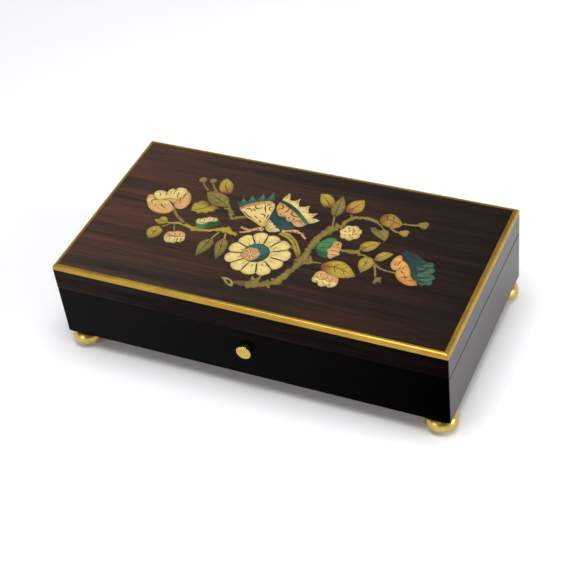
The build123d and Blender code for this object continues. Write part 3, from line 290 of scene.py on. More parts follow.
def finish_nodes():
    """Every CAD node's material, from its slot in the record and the way its grain runs."""
    for subpart in frame["record"]["subparts"]:
        name, slot = subpart["node"], subpart["material_slot"]
        if slot == "rosewood":
            slot = WOOD_OF.get(name, "end_wood")
        node = NODES[name]
        if not node.material_slots:
            node.data.materials.append(FINISHES[slot])
        for held in node.material_slots:
            held.material = FINISHES[slot]


# ---------------------------------------------------------------- mesh helpers
def add_mesh(name, verts, faces, finish, body, smooth=True):
    """A mesh in metres that rides on a body."""
    mesh = bpy.data.meshes.new(name)
    mesh.from_pydata(verts, [], faces)
    mesh.validate()
    mesh.polygons.foreach_set("use_smooth", [smooth] * len(mesh.polygons))
    mesh.materials.append(FINISHES[finish])
    piece = bpy.data.objects.new(name, mesh)
    bpy.context.scene.collection.objects.link(piece)
    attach(piece, body)
    return piece


def smooth_line(points, closed, step=1.1, corner=54):
    """A smooth line through points, with its sharp turns kept as corners."""
    points = [Vector(point) for point in points]
    count = len(points)
    arrive, leave = [], []
    for index, point in enumerate(points):
        before = point - points[index - 1] if closed or index else points[1] - point
        after = points[(index + 1) % count] - point if closed or index < count - 1 else before
        before, after = before.normalized(), after.normalized()
        sharp = before.angle(after) > math.radians(corner)
        middle = (before + after).normalized() if not sharp else None
        arrive.append(middle or before)
        leave.append(middle or after)
    line = []
    for index in range(count if closed else count - 1):
        a, b = points[index], points[(index + 1) % count]
        reach = (b - a).length
        parts = max(1, round(reach / step))
        for part in range(parts):
            t = part / parts
            t2, t3 = t * t, t * t * t
            line.append(
                a * (2 * t3 - 3 * t2 + 1)
                + leave[index] * reach * (t3 - 2 * t2 + t)
                + b * (3 * t2 - 2 * t3)
                + arrive[(index + 1) % count] * reach * (t3 - t2)
            )
    if not closed:
        line.append(points[-1])
    return line


def inside(point, outline):
    """Whether a plan point is inside a closed outline, and how far it is from the outline's points."""
    within = False
    nearest = 1e9
    previous = outline[-1]
    for current in outline:
        nearest = min(nearest, (point - current).length_squared)
        if (current.y > point.y) != (previous.y > point.y):
            cross = current.x + (point.y - current.y) * (previous.x - current.x) / (previous.y - current.y)
            if point.x < cross:
                within = not within
        previous = current
    return within, math.sqrt(nearest)


# ---------------------------------------------------------------- marquetry
# Colours run from 0 to 255. Plan points are in millimetres, with the lid's middle at 0, 0.
CREAM = (242, 214, 134)
PEACH = (226, 172, 100)
PINK = (224, 174, 120)
TEAL = (56, 108, 92)
DEEP_TEAL = (32, 66, 64)
GREEN = (70, 138, 72)
DEEP_GREEN = (36, 78, 42)
OLIVE = (148, 128, 54)
GOLD_OLIVE = (188, 162, 52)
BURNT = (136, 76, 38)
INK = (46, 33, 20)

FLOWER_NODE = "marquetry_flowers"
GROWTH_NODE = "marquetry_foliage"
LID_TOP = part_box("lid_veneer")[1].z
LAYER = 0.000012
LEVEL_STEP = 0.0000002
SLAB_FOOT = 0.00001
FINE_MESH = 0.9
COARSE_MESH = 2.2
RIM_TONE = 0.62
SIDE_TONE = 0.55
SHADE_WAVER = 0.22
SHAPE_GRAIN = 0.16
LINE_GRAIN = 0.18


class Inlay:
    """A group of inlaid veneers on the lid, drawn in plan millimetres."""

    def __init__(self, name):
        self.name = name
        self.verts = []
        self.faces = []
        self.tints = []
        self.count = 0

    def height(self, layer):
        """The top of the next piece; no two pieces are quite level, so none of them share a surface."""
        self.count += 1
        return LID_TOP + LAYER * (layer + 1) + LEVEL_STEP * self.count

    def slab(self, rim, inner, colours, layer):
        """One flat piece with upright edges: rim and inner points, and a colour for each of them."""
        found = geometry.delaunay_2d_cdt(
            [Vector(point) for point in rim + inner], [], [list(range(len(rim)))], 1, 1e-5
        )
        points, triangles, origins = found[0], found[2], found[3]
        base = len(self.verts)
        height = self.height(layer)
        for point, origin in zip(points, origins):
            self.verts.append((point.x * MM, point.y * MM, height))
            self.tints.append(colours[origin[0]] if origin else colours[0])
        self.faces += [[base + corner for corner in triangle] for triangle in triangles]
        sides = {}
        for triangle in triangles:
            for a, b in zip(triangle, triangle[1:] + triangle[:1]):
                sides[a, b] = (b, a) in sides
                if (b, a) in sides:
                    sides[b, a] = True
        edge = [pair for pair, shared in sides.items() if not shared]
        foot = {}
        for a, _ in edge:
            foot[a] = len(self.verts)
            self.verts.append((points[a].x * MM, points[a].y * MM, LID_TOP - SLAB_FOOT))
            self.tints.append(self.tints[base + a])
        self.faces += [[base + b, base + a, foot[a], foot[b]] for a, b in edge]

    def shape(self, points, colour, shade=None, towards=(0, -1), layer=0, start=0.35):
        """A closed outline. The shade colour comes in towards one side, and the rim is a little darker."""
        rim = smooth_line(points, True)
        xs, ys = [p.x for p in rim], [p.y for p in rim]
        size = min(max(xs) - min(xs), max(ys) - min(ys))
        spacing = max(FINE_MESH, min(COARSE_MESH, size / 5))
        inner = []
        for row in range(int((max(ys) - min(ys)) / spacing) + 1):
            for column in range(int((max(xs) - min(xs)) / spacing) + 1):
                point = Vector((min(xs) + column * spacing, min(ys) + row * spacing))
                point.x += 0.5 * spacing * (row % 2)
                within, gap = inside(point, rim)
                if within and gap > 0.55 * spacing:
                    inner.append(point)
        heading = Vector(towards).normalized()
        marks = [point.dot(heading) for point in rim]
        low, high = min(marks), max(marks)
        main, burnt = Vector(linear(colour)[:3]), Vector(linear(shade or colour)[:3])
        colours = []
        for index, point in enumerate(rim + inner):
            share = ((point.dot(heading) - low) / (high - low) - start) / (1 - start)
            waver = SHADE_WAVER * noise.noise((point.x * 0.3, point.y * 0.3, 0.5))
            share = max(0.0, min(1.0, share + waver))
            tone = main.lerp(burnt, share * share * (3 - 2 * share))
            tone = tone * (RIM_TONE if index < len(rim) else 1.0)
            tone = tone * (1.0 + SHAPE_GRAIN * noise.noise((point.x * 0.13, point.y * 0.5, 3.0)))
            colours.append((*tone, 1.0))
        self.slab(rim, inner, colours, layer)

    def line(self, points, width=0.34, colour=INK, layer=7):
        """A knife line that tapers to both ends."""
        path = smooth_line(points, False, 0.9)
        last = len(path) - 1
        swell = [math.sin(math.pi * min(0.92, 0.08 + step / last)) for step in range(last + 1)]
        widths = [1.5 * width * (0.25 + 0.75 * share) for share in swell]
        self.ribbon(path, widths, colour, layer)

    def cuts(self, lines, width=0.45, colour=BURNT):
        """Knife lines of one width and colour."""
        for points in lines:
            self.line(points, width, colour)

    def stem(self, points, widths, colour=OLIVE, layer=0, lumps=0.0):
        """A branch or stalk with a width at each given point, and knots along it."""
        path = smooth_line(points, False, 0.8)
        marks = [Vector(point) for point in points]
        wide = []
        for place in path:
            near = sorted(range(len(marks)), key=lambda k: (marks[k] - place).length)[:2]
            gaps = [(marks[k] - place).length + 1e-6 for k in near]
            wide.append((widths[near[0]] * gaps[1] + widths[near[1]] * gaps[0]) / (gaps[0] + gaps[1]))
        self.ribbon(path, wide, colour, layer, lumps)

    def ribbon(self, path, widths, colour, layer, lumps=0.0):
        """A strip of changing width along a path, with darker and, for a branch, uneven sides."""
        left, right = [], []
        for index, place in enumerate(path):
            ahead = path[min(index + 1, len(path) - 1)] - path[max(index - 1, 0)]
            across = Vector((-ahead.y, ahead.x)).normalized() * widths[index] / 2
            spot = (place.x * 0.36, place.y * 0.36)
            knots = [1.6 * lumps * noise.noise((*spot, side)) for side in (1.5, 9.5)]
            left.append(place + across * (1 + knots[0]))
            right.append(place - across * (1 + knots[1]))
        base = len(self.verts)
        height = self.height(layer)
        tone = Vector(linear(colour)[:3])
        for index, place in enumerate(path):
            grain = 1.0 + LINE_GRAIN * noise.noise((place.x * 0.4, place.y * 0.4, 1.0))
            row = ((left[index], SIDE_TONE), (place, 1.0), (right[index], SIDE_TONE))
            for point, light in row:
                self.verts.append((point.x * MM, point.y * MM, height))
                self.tints.append((*(tone * light * grain), 1.0))
        for index in range(len(path) - 1):
            a = base + 3 * index
            self.faces += [[a + 1, a, a + 3, a + 4], [a + 2, a + 1, a + 4, a + 5]]

    def build(self, node):
        """The finished group as one piece that stands in for a CAD node."""
        name = f"inlay_{self.name}"
        piece = add_mesh(name, self.verts, self.faces, "inlay", "lid", smooth=False)
        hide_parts(node)
        tint = piece.data.color_attributes.new("tint", "FLOAT_COLOR", "POINT")
        tint.data.foreach_set("color", [value for colour in self.tints for value in colour])


def spoke(centre, angle, along_petal, across):
    """A plan point given along and across a petal that points away from a centre."""
    turn = math.radians(angle)
    x = centre[0] + along_petal * math.cos(turn) - across * math.sin(turn)
    y = centre[1] + along_petal * math.sin(turn) + across * math.cos(turn)
    return (x, y)


def ring(centre, radius, squash=1.0, lobes=0, depth=0.0, turn=0.0):
    """A round outline, with scallops where asked for."""
    points = []
    steps = max(12, lobes * 6)
    for index in range(steps):
        angle = 2 * math.pi * index / steps + turn
        reach = radius * (1 - depth * (1 - abs(math.sin(lobes * angle / 2)))) if lobes else radius
        points.append((centre[0] + reach * math.cos(angle), centre[1] + reach * squash * math.sin(angle)))
    return points


def bow(centre, radius, start, end, steps=6):
    """Points along an arc, with its angles in degrees."""
    turns = [math.radians(start + (end - start) * step / steps) for step in range(steps + 1)]
    return [(centre[0] + radius * math.cos(turn), centre[1] + radius * math.sin(turn)) for turn in turns]


def leaf(group, outline, colour, shade, towards, vein, layer=1, start=0.35):
    """A leaf with a cut midrib."""
    group.shape(outline, colour, shade, towards, layer, start)
    group.line(vein, 0.42)


# Each motif below is laid from its back layer to its front one.
def peony():
    group = Inlay("peony")
    group.stem([(-97.2, 8), (-94, 3.4), (-91, 0), (-84, -5), (-80, -8)], [1.6, 2.2, 2.4, 2.6, 2.6])
    back = [
        (-123.5, 15), (-122.4, 16.4), (-120, 16.8), (-118.4, 15.5), (-120, 18.4), (-119.2, 22),
        (-115.4, 23.8), (-111.6, 23.2), (-110.4, 22), (-110.2, 26.4), (-108, 28.4), (-105.8, 27.6),
        (-105, 26.2), (-105, 30), (-101.6, 31.4), (-97.6, 30.6), (-95, 27.6), (-93.6, 22), (-97, 14),
        (-105, 9), (-117, 8)
    ]
    group.shape(back, CREAM, (226, 184, 96), (0.5, -1), 1, 0.25)
    right = [
        (-94.6, 28.4), (-91.6, 25.8), (-89, 21.6), (-87.4, 16), (-88, 11), (-90, 7.6), (-93, 6.8),
        (-96.4, 8), (-100.4, 12), (-98.6, 17), (-96.4, 22), (-95.8, 26)
    ]
    group.shape(right, PEACH, (214, 156, 92), (-1, -0.2), 2, 0.5)
    low = [
        (-123.5, 15), (-122.4, 10.6), (-119, 5.4), (-115.4, 1.4), (-111, -1), (-106, -2), (-100.6, -1.2),
        (-97, 1.6), (-96.2, 5), (-97.4, 8.4), (-101, 11.6), (-104.6, 14.6), (-109, 15.4), (-113.6, 13.4),
        (-117.4, 14.6)
    ]
    group.shape(low, (230, 192, 108), PEACH, (1, -0.6), 3, 0.2)
    group.line([(-96.6, 7.4), (-100, 11), (-104.8, 14.6)], 0.8)
    group.line([(-113.2, 12.6), (-116.4, 12), (-117.2, 9.4), (-114.8, 6.2)], 0.7, BURNT)
    group.line([(-112.8, 6.4), (-111.4, 4.6)], 1.0, BURNT)
    group.line([(-108.8, 8.8), (-106.8, 6.4), (-102.8, 4.4)], 0.8, BURNT)
    group.line([(-109.6, 4.6), (-108, 3.2)], 0.6, BURNT)
    group.line([(-109.8, 13), (-106, 16), (-100.6, 16.8), (-98.4, 17.6)], 0.5, BURNT)
    group.cuts((
        ((-95.8, 26), (-95.4, 22.4), (-94.6, 19.6)), ((-97, 20), (-96, 16), (-93.8, 12.4)),
        ((-101.6, 26), (-100.6, 21), (-98, 16.6)), ((-108, 22), (-107, 25.4)),
        ((-105, 26.2), (-104.6, 21)), ((-110.4, 22), (-109.6, 18)), ((-118.4, 15.5), (-115, 12.4)),
        ((-115.4, 20.6), (-113.4, 17))
    ), 0.5)
    group.build(FLOWER_NODE)


def left_branch():
    group = Inlay("left_branch")
    bough = [
        (-98, -10), (-92, -10), (-86, -8.5), (-78, -8.5), (-70, -11.5), (-64, -10.5), (-58, -9),
        (-52, -6.5), (-46, -5.5), (-41, -7), (-36, -8.5)
    ]
    group.stem(bough, [2.2, 1.8, 2.2, 3.0, 5.4, 3.4, 2.6, 3.4, 6.6, 4.0, 2.0], GOLD_OLIVE, 0, 0.5)
    trefoil = [
        (-93.4, -10), (-95.4, -6.4), (-98, -4.4), (-101, -5.2), (-101.4, -8), (-105, -9.8),
        (-102.4, -12.2), (-98.4, -13.8), (-95.2, -12.4)
    ]
    leaf(group, trefoil, GOLD_OLIVE, OLIVE, (0, -1), [(-95, -10), (-101, -9.5)])
    group.stem([(-91, -10.5), (-92.5, -13), (-95.5, -15.5)], [1.6, 1.4, 2.2])
    round_leaf = [
        (-97.5, -16), (-93.5, -19), (-92.6, -24), (-95, -28.5), (-99, -31), (-102.5, -27.5),
        (-104.3, -22), (-102, -17.5)
    ]
    leaf(group, round_leaf, GOLD_OLIVE, OLIVE, (1, -1), [(-97.8, -18), (-98.3, -23), (-98.8, -29)])
    group.cuts((((-98.3, -23), (-95.5, -21)), ((-98.3, -24), (-101.5, -21.5))), 0.34, INK)
    group.stem([(-87.5, -9.5), (-86, -14), (-83.5, -18)], [1.2, 1.2, 1.0])
    for stalk, outline, vein in (
        (
            [(-50, -9), (-51.5, -13), (-52.8, -18)],
            [
                (-53, -17), (-49.6, -20), (-48.8, -26), (-51.5, -33), (-55.5, -38.8), (-58.3, -31),
                (-58.8, -23)
            ],
            [(-53, -18), (-53.6, -24), (-55, -35)],
        ),
        (
            [(-45, -9), (-43.8, -12), (-43, -16)],
            [
                (-44.5, -15), (-41, -15.5), (-37.2, -22), (-36.9, -29), (-39.5, -38), (-43.5, -31),
                (-46.8, -21)
            ],
            [(-43.5, -16.5), (-41.6, -24), (-39.8, -34)],
        ),
    ):
        group.stem(stalk, [1.4, 1.3, 1.5], GOLD_OLIVE)
        leaf(group, outline, OLIVE, (118, 104, 42), (1, -0.4), vein)
        x, y = vein[1]
        group.cuts((((x, y), (x - 3, y + 3)), ((x, y), (x + 2.6, y + 3))), 0.34, INK)
    curl = [(-59, 18), (-55, 17.8), (-52, 15.5), (-49.6, 12), (-47.5, 8.5), (-43, 11), (-37, 13)]
    group.stem(curl, [1.6, 2.0, 3.4, 5.4, 3.2, 4.2, 2.6], OLIVE, 0, 0.3)
    group.line([(-48.2, 12.4), (-47.6, 10.6)], 1.6)
    group.stem([(-57.5, 23), (-54, 18), (-51, 14)], [2.4, 1.8, 2.0], OLIVE)
    group.build(GROWTH_NODE)


def left_pansy(group):
    low = [
        (-89, -23.4), (-88, -27), (-86.2, -29.8), (-83, -31.2), (-80, -30.4), (-77.6, -31),
        (-76.4, -28.2), (-74, -28.6), (-71.6, -25.4), (-73, -21), (-78, -19.6), (-85, -20)
    ]
    group.shape(low, CREAM, (214, 196, 112), (0.4, -1), 1, 0.5)
    high = [
        (-89, -22.6), (-87.4, -19.4), (-84, -18.6), (-81.8, -17), (-78.4, -16.6), (-75, -17.6),
        (-73, -20.4), (-74.2, -22.8), (-77, -22.4), (-79.6, -24.6), (-82.6, -23.6), (-85.6, -26)
    ]
    group.shape(high, PINK, PEACH, (-1, 1), 2)
    group.cuts((
        ((-83.4, -24.6), (-82.8, -29.6)), ((-79.4, -25.4), (-79.2, -29)), ((-86.6, -25.8), (-85.6, -28))
    ))
    group.cuts((
        ((-77.6, -24), (-76.8, -28.4)), ((-77.6, -29), (-76.8, -31)), ((-75, -23.6), (-73.8, -27))
    ), 0.6, INK)
    group.cuts((
        ((-86, -21), (-84.6, -24)), ((-82, -19.4), (-80.8, -23)), ((-78, -18.4), (-77.8, -21.6)),
        ((-87.4, -22.4), (-82, -23.6), (-76, -21.6))
    ))


def half_open_bud(group):
    bud = [
        (-73.5, -1.5), (-71.5, 1.5), (-68.5, 2.8), (-66.5, 5.4), (-62.5, 6.3), (-58.5, 5.2), (-55, 2.5),
        (-54, -1), (-56, -5), (-61, -7.8), (-66, -9), (-70.5, -7.5)
    ]
    group.shape(bud, DEEP_GREEN, GREEN, (-1, -0.6), 1, 0.3)
    petals = [
        (-73.6, -1.5), (-72.4, 1), (-70, 1.2), (-68.6, 3.4), (-66.4, 3.4), (-65, 5.6), (-62, 5.2),
        (-59.4, 5.6), (-57, 3.6), (-58.4, 1.4), (-62, 0.2), (-64, -2), (-66.6, -4.4), (-71, -4.4)
    ]
    group.shape(petals, CREAM, (212, 200, 120), (1, -1), 2)
    group.cuts((
        ((-71, 0.4), (-69.6, -2.6)), ((-67.8, 2.6), (-66.4, -1)), ((-64, 4.4), (-63.4, 1.2)),
        ((-60.6, 4.4), (-60.4, 1.6)), ((-69.6, -2.6), (-66, -2.2))
    ))
    group.cuts((((-60, -2), (-63.6, -6)), ((-57, -1), (-59, -5))), 0.5, DEEP_GREEN)


def scalloped_blossom(group):
    blossom = (45, 18.8)
    group.shape(ring(blossom, 8.6, 1.02, 7, 0.17, 0.2), CREAM, (222, 192, 104), (1, -1), 1)
    group.cuts((
        ((45.4, 24.4), (46.4, 20.6)), ((47.8, 22.6), (46.8, 19), (47.4, 16)), ((44, 21.8), (43.2, 18.8)),
        ((41.4, 24), (42.6, 21.6)), ((41, 14.8), (42.4, 16.2)), ((49.6, 19.4), (48.4, 17.4)),
        ((44.6, 17), (46.4, 14.6)), ((39.4, 19.4), (41.4, 19)), ((50.6, 23.4), (49, 21.6)),
        ((48.6, 13.4), (47.4, 14.8))
    ), 0.62)


def right_pansy(group):
    low = [
        (37, -33), (37.4, -37.6), (39.8, -39.6), (42.6, -38.8), (44, -41.4), (47, -42.2), (49.4, -40.4),
        (52, -41.6), (55.2, -39.8), (56.6, -36), (55.6, -31.6), (46, -30.6)
    ]
    group.shape(low, CREAM, (222, 200, 116), (0, -1), 1)
    high = [
        (37, -33.4), (37.4, -29.6), (39.6, -26.8), (43, -26.4), (46, -28), (50, -28), (54, -29.6),
        (56, -32), (55.8, -35.4), (53, -33.8), (50.6, -35.8), (47.6, -33.6), (44.6, -35), (42, -33),
        (39, -34)
    ]
    group.shape(high, PEACH, PINK, (1, -1), 2)
    group.cuts((
        ((37.4, -34), (40, -33.6), (43, -35.6), (46, -34.4), (50, -36.4), (53, -34.8)),
        ((41.5, -29), (42, -32)), ((47, -30), (47, -33)), ((51.6, -30.6), (51, -34))
    ))
    group.cuts((
        ((41, -36.4), (42.2, -38.8)), ((45.6, -37), (47.6, -40)), ((51.4, -37), (51.4, -40.2))
    ), 0.5)


def green_bell(group):
    green = [
        (33, 10), (38, 9), (40, 7), (38.5, 4), (36, 0), (36.5, -4), (38, -9), (41, -12.5), (36, -13.2),
        (31, -11), (27, -5), (26.5, 0), (28.5, 5)
    ]
    group.shape(green, GREEN, DEEP_GREEN, (-0.2, -1), 1, 0.45)
    pink = [
        (37, 6), (40.5, 7), (43, 6), (44.3, 3), (44.4, 0.8), (46.2, -0.6), (45, -3), (46.5, -6.4),
        (43.8, -9.4), (41.5, -12.8), (38.6, -11), (37.4, -7.4), (35, -4), (37, 0)
    ]
    group.shape(pink, PEACH, PINK, (-1, -1), 2)
    group.cuts((
        ((38.5, 4), (42.5, 3.5)), ((38, 0), (41, 1), (44, -0.5)), ((37.4, -4), (41, -3.4), (44.6, -4.2)),
        ((39.5, -8), (44, -7.5)), ((41, 6), (41.6, 1.4))
    ), 0.5)
    group.cuts((((29, -3), (34, -2)), ((30, 3), (35, 4.5)), ((30, -8), (35, -8))), 0.5, DEEP_GREEN)


def small_flowers():
    group = Inlay("small_flowers")
    for centre, radius in (
        ((-80.3, -24), 6.4), ((45, 18.8), 6.8), ((-64, -1.4), 6.0), ((47, -34.3), 6.8), ((36.8, -2), 7.6)
    ):
        group.shape(ring(centre, radius), INK)
    for flower in (left_pansy, half_open_bud, scalloped_blossom, right_pansy, green_bell):
        flower(group)
    group.build(FLOWER_NODE)


def left_leaves():
    group = Inlay("left_leaves")
    for ball, stalk, radius in (((-90, 45), (-80, 34), 3.3), ((-81.5, 46), (-73, 34.5), 2.9)):
        middle = ((ball[0] + stalk[0]) / 2 - 0.5, (ball[1] + stalk[1]) / 2 - 1)
        group.stem([ball, middle, stalk], [1.3, 1.5, 2.0])
        group.shape(ring(ball, radius), OLIVE, (116, 104, 44), (1, -1), 1)
    two_tone = [
        (-84, 13), (-83.6, 17), (-81.6, 18.2), (-80.6, 20.8), (-77, 21.8), (-73.6, 20.6), (-71.4, 17.4),
        (-68.6, 18.8), (-65, 18.6), (-62.2, 16.2), (-64.2, 14.4), (-65.4, 11.4), (-68, 11), (-69.6, 8),
        (-72.6, 8.4), (-76, 6.2), (-79, 8), (-82, 7.8)
    ]
    leaf(group, two_tone, GOLD_OLIVE, BURNT, (0.35, 1), [(-71, 17), (-74, 13.5), (-80, 9.5)], 1, 0.42)
    big = [
        (-80.5, 32), (-77, 34), (-72, 34.5), (-62, 31), (-57.5, 24), (-56, 20.5), (-62, 19), (-70, 19),
        (-76, 24.5)
    ]
    leaf(group, big, OLIVE, (124, 110, 44), (-0.5, -1), [(-57.5, 21.5), (-66, 25.5), (-78, 31.5)], 1)
    group.cuts((
        ((-62, 23.5), (-62, 29)), ((-67, 26), (-68.5, 32)), ((-64, 24.6), (-69, 21)),
        ((-70, 27.3), (-74.5, 25))
    ), 0.34, INK)
    orange = [
        (-72.5, 52), (-74.8, 48), (-74.5, 43), (-71.5, 36.5), (-66, 34.5), (-61.5, 35), (-62, 41),
        (-66, 48)
    ]
    leaf(group, orange, GOLD_OLIVE, BURNT, (0.7, -1), [(-64, 36), (-69, 42), (-72, 50)], 2, 0.4)
    group.build(GROWTH_NODE)


def left_wing(group):
    fringe = [
        (-48.6, 23), (-52.6, 28.4), (-49.4, 27.6), (-50, 34), (-44.6, 30.2), (-44.4, 38.6), (-38.4, 33.4),
        (-36.8, 43.6), (-32, 36.4), (-29.8, 47.2), (-24.6, 37.8), (-27, 34), (-36, 28), (-45, 21)
    ]
    group.shape(fringe, TEAL, DEEP_TEAL, (0.6, -1), 0, 0.3)
    group.cuts((
        ((-29.4, 44), (-28.4, 38)), ((-36.2, 41), (-34.6, 35.6)), ((-43.8, 36.4), (-41, 32)),
        ((-49.4, 32.4), (-46.4, 28))
    ), 0.5, (104, 150, 126))
    left = [
        (-47.4, 22), (-40, 29), (-33, 33), (-28, 34.8), (-23.2, 34), (-21.6, 30), (-20.9, 22),
        (-20.4, 12), (-19.6, 7), (-22.4, 6), (-26.4, 8), (-31, 10.2), (-37, 13), (-42.4, 17),
        (-46.6, 20.4)
    ]
    group.shape(left, CREAM, (226, 186, 98), (0.5, -1), 1, 0.45)
    band = [
        (-47.9, 22.4), (-40, 30), (-33, 34), (-28, 36), (-25.4, 35.4), (-26, 33), (-30, 31.6),
        (-36, 28.4), (-41.6, 24.6), (-46, 20.6)
    ]
    group.shape(band, PEACH, (214, 150, 84), (-1, 0), 2)
    group.cuts((
        ((-29.8, 31), (-28, 26.4), (-25, 21.4)), bow((-22.6, 28), 2.6, 100, 262),
        bow((-33.6, 27.4), 2.8, 165, 370), bow((-39.8, 19.4), 3.4, 150, -5),
        bow((-27.2, 16.8), 3.0, 125, -10), ((-37, 24), (-33.6, 21)), ((-32, 16), (-28.8, 13.8)),
        ((-42.6, 18.6), (-37, 14.8), (-31, 12.2)), ((-27, 12.8), (-24.2, 10.4)),
        ((-22.6, 20.6), (-22, 15)), bow((-26, 29.6), 2.0, 60, 200),
    ), 0.8, (116, 84, 30))


def right_wing(group):
    ground = [
        (-18.8, 36.6), (-8.6, 35.8), (9, 25.4), (7.6, 17), (-2, 10.6), (-7.2, 8), (-18.6, 16), (-18.4, 28)
    ]
    group.shape(ground, INK)
    teal = [
        (-20.6, 28.4), (-17.6, 25), (-14.8, 21.4), (-10.6, 22.2), (-8.6, 20.6), (-7, 18.2), (-4, 17.6),
        (-1.6, 14.4), (3, 13), (1.4, 10.6), (-3, 8), (-6, 5.6), (-8.6, 7.4), (-12, 10.4), (-16, 13),
        (-20.4, 15.6)
    ]
    group.shape(teal, DEEP_TEAL, (44, 88, 84), (1, -0.6), 1, 0.55)
    right = [
        (-20.4, 36.6), (-16, 35.4), (-10, 32), (-4, 28.6), (3, 23), (6, 20.4), (9.8, 18.4), (7.6, 15),
        (4.4, 13.6), (0.2, 15), (-2.4, 17.4), (-6.4, 18), (-9, 21.8), (-14.6, 21.6), (-17.4, 25),
        (-20.2, 29.4)
    ]
    group.shape(right, PEACH, PINK, (1, -1), 2)
    group.cuts((
        bow((-18, 31.4), 2.7, 100, -100), ((-10.4, 32.4), (-10.6, 28.6), (-12.6, 25.6)),
        ((-7, 29.4), (-5.4, 25.6), (-2.2, 24.2), (1, 25)), bow((2.6, 17.2), 3.2, 175, 0),
        ((-1.6, 22.4), (-2.6, 18.4)), ((-14.6, 24.6), (-13.6, 22.8)), ((-6.6, 22.4), (-5.4, 20)),
    ), 0.85, BURNT)


def wing_tips(group):
    crown = [
        (-20, 39.4), (-19.4, 43.4), (-17.2, 49.2), (-15.6, 46), (-13.6, 41), (-10, 41.4), (-6.6, 45.2),
        (-6, 40.6), (-4, 36.2), (-0.6, 36.6), (3.6, 39.4), (4.2, 35), (6, 31), (9.6, 31.4), (13, 32.8),
        (11.4, 28.8), (10.8, 26), (14, 26.2), (17.6, 25.6), (14.6, 21.6), (11.4, 19.8), (3, 25.5),
        (-6, 32.5), (-13, 36.5)
    ]
    group.shape(crown, CREAM, (226, 204, 112), (-1, -1), 1, 0.5)
    stripe = [
        (-20, 39.6), (-13, 37.6), (-6, 34), (1, 28.6), (7, 23.6), (11.2, 19.8), (9.8, 18.4), (3, 23.2),
        (-5, 29.2), (-13, 34.2), (-20.2, 37)
    ]
    group.shape(stripe, DEEP_GREEN, (78, 146, 66), (1, -0.9), 3, 0.35)
    group.cuts((
        ((-17.4, 46), (-16.8, 41)), ((-7.4, 42.6), (-8, 38)), ((2.4, 37), (1.4, 32)),
        ((11, 30.6), (7, 27.4)), ((14.6, 24.6), (11, 22.6))
    ), 0.4, (150, 128, 54))


def butterfly_body(group):
    shell = [
        (-20.2, 15.4), (-18, 15), (-17, 12.8), (-15, 12.6), (-14, 10.4), (-11.8, 10.2), (-11, 8.2),
        (-8.8, 7.8), (-6.4, 5.4), (-9.4, 3.4), (-14.4, 2.2), (-17.6, 4), (-19.6, 8)
    ]
    group.shape(shell, CREAM, (220, 190, 110), (-1, -1), 3)
    group.cuts((
        ((-18.4, 6), (-18, 10), (-18.4, 12.6)), ((-17, 5), (-16, 8), (-15.6, 10.4)),
        ((-15, 4.4), (-13.2, 6.2), (-12.4, 8)), ((-13, 4), (-11, 5), (-9.6, 6))
    ), 0.42, (150, 118, 54))
    tail = [(-5, 5.5), (2, 8.4), (5, 8.8), (10, 7), (15.8, 2.8)]
    group.stem(tail, [2.2, 2.8, 3.4, 2.8, 1.8], PINK, 2, 0.6)
    head = [(-19, 3.6), (-23, 3.4), (-27, 0.6), (-31, 0.4), (-37, 1.2)]
    group.stem(head, [4.0, 4.4, 4.0, 2.2, 1.6], PINK, 2, 0.5)
    group.stem([(-26, 1), (-30, -2.6), (-35.5, -4.8)], [3.4, 2.6, 1.8], PINK, 2, 0.5)
    group.cuts((
        ((-23.6, 3), (-22.4, 1.6)), ((-27.2, 0), (-26.2, -1.4)), ((-20.6, 4.2), (-19.6, 2.6)),
        ((2, 9), (3, 7.4)), ((6, 8.8), (6.6, 6.6)), ((10, 7.4), (10.4, 5.8))
    ), 0.7)


def butterfly():
    group = Inlay("butterfly")
    for part in (left_wing, right_wing, wing_tips, butterfly_body):
        part(group)
    group.build(FLOWER_NODE)


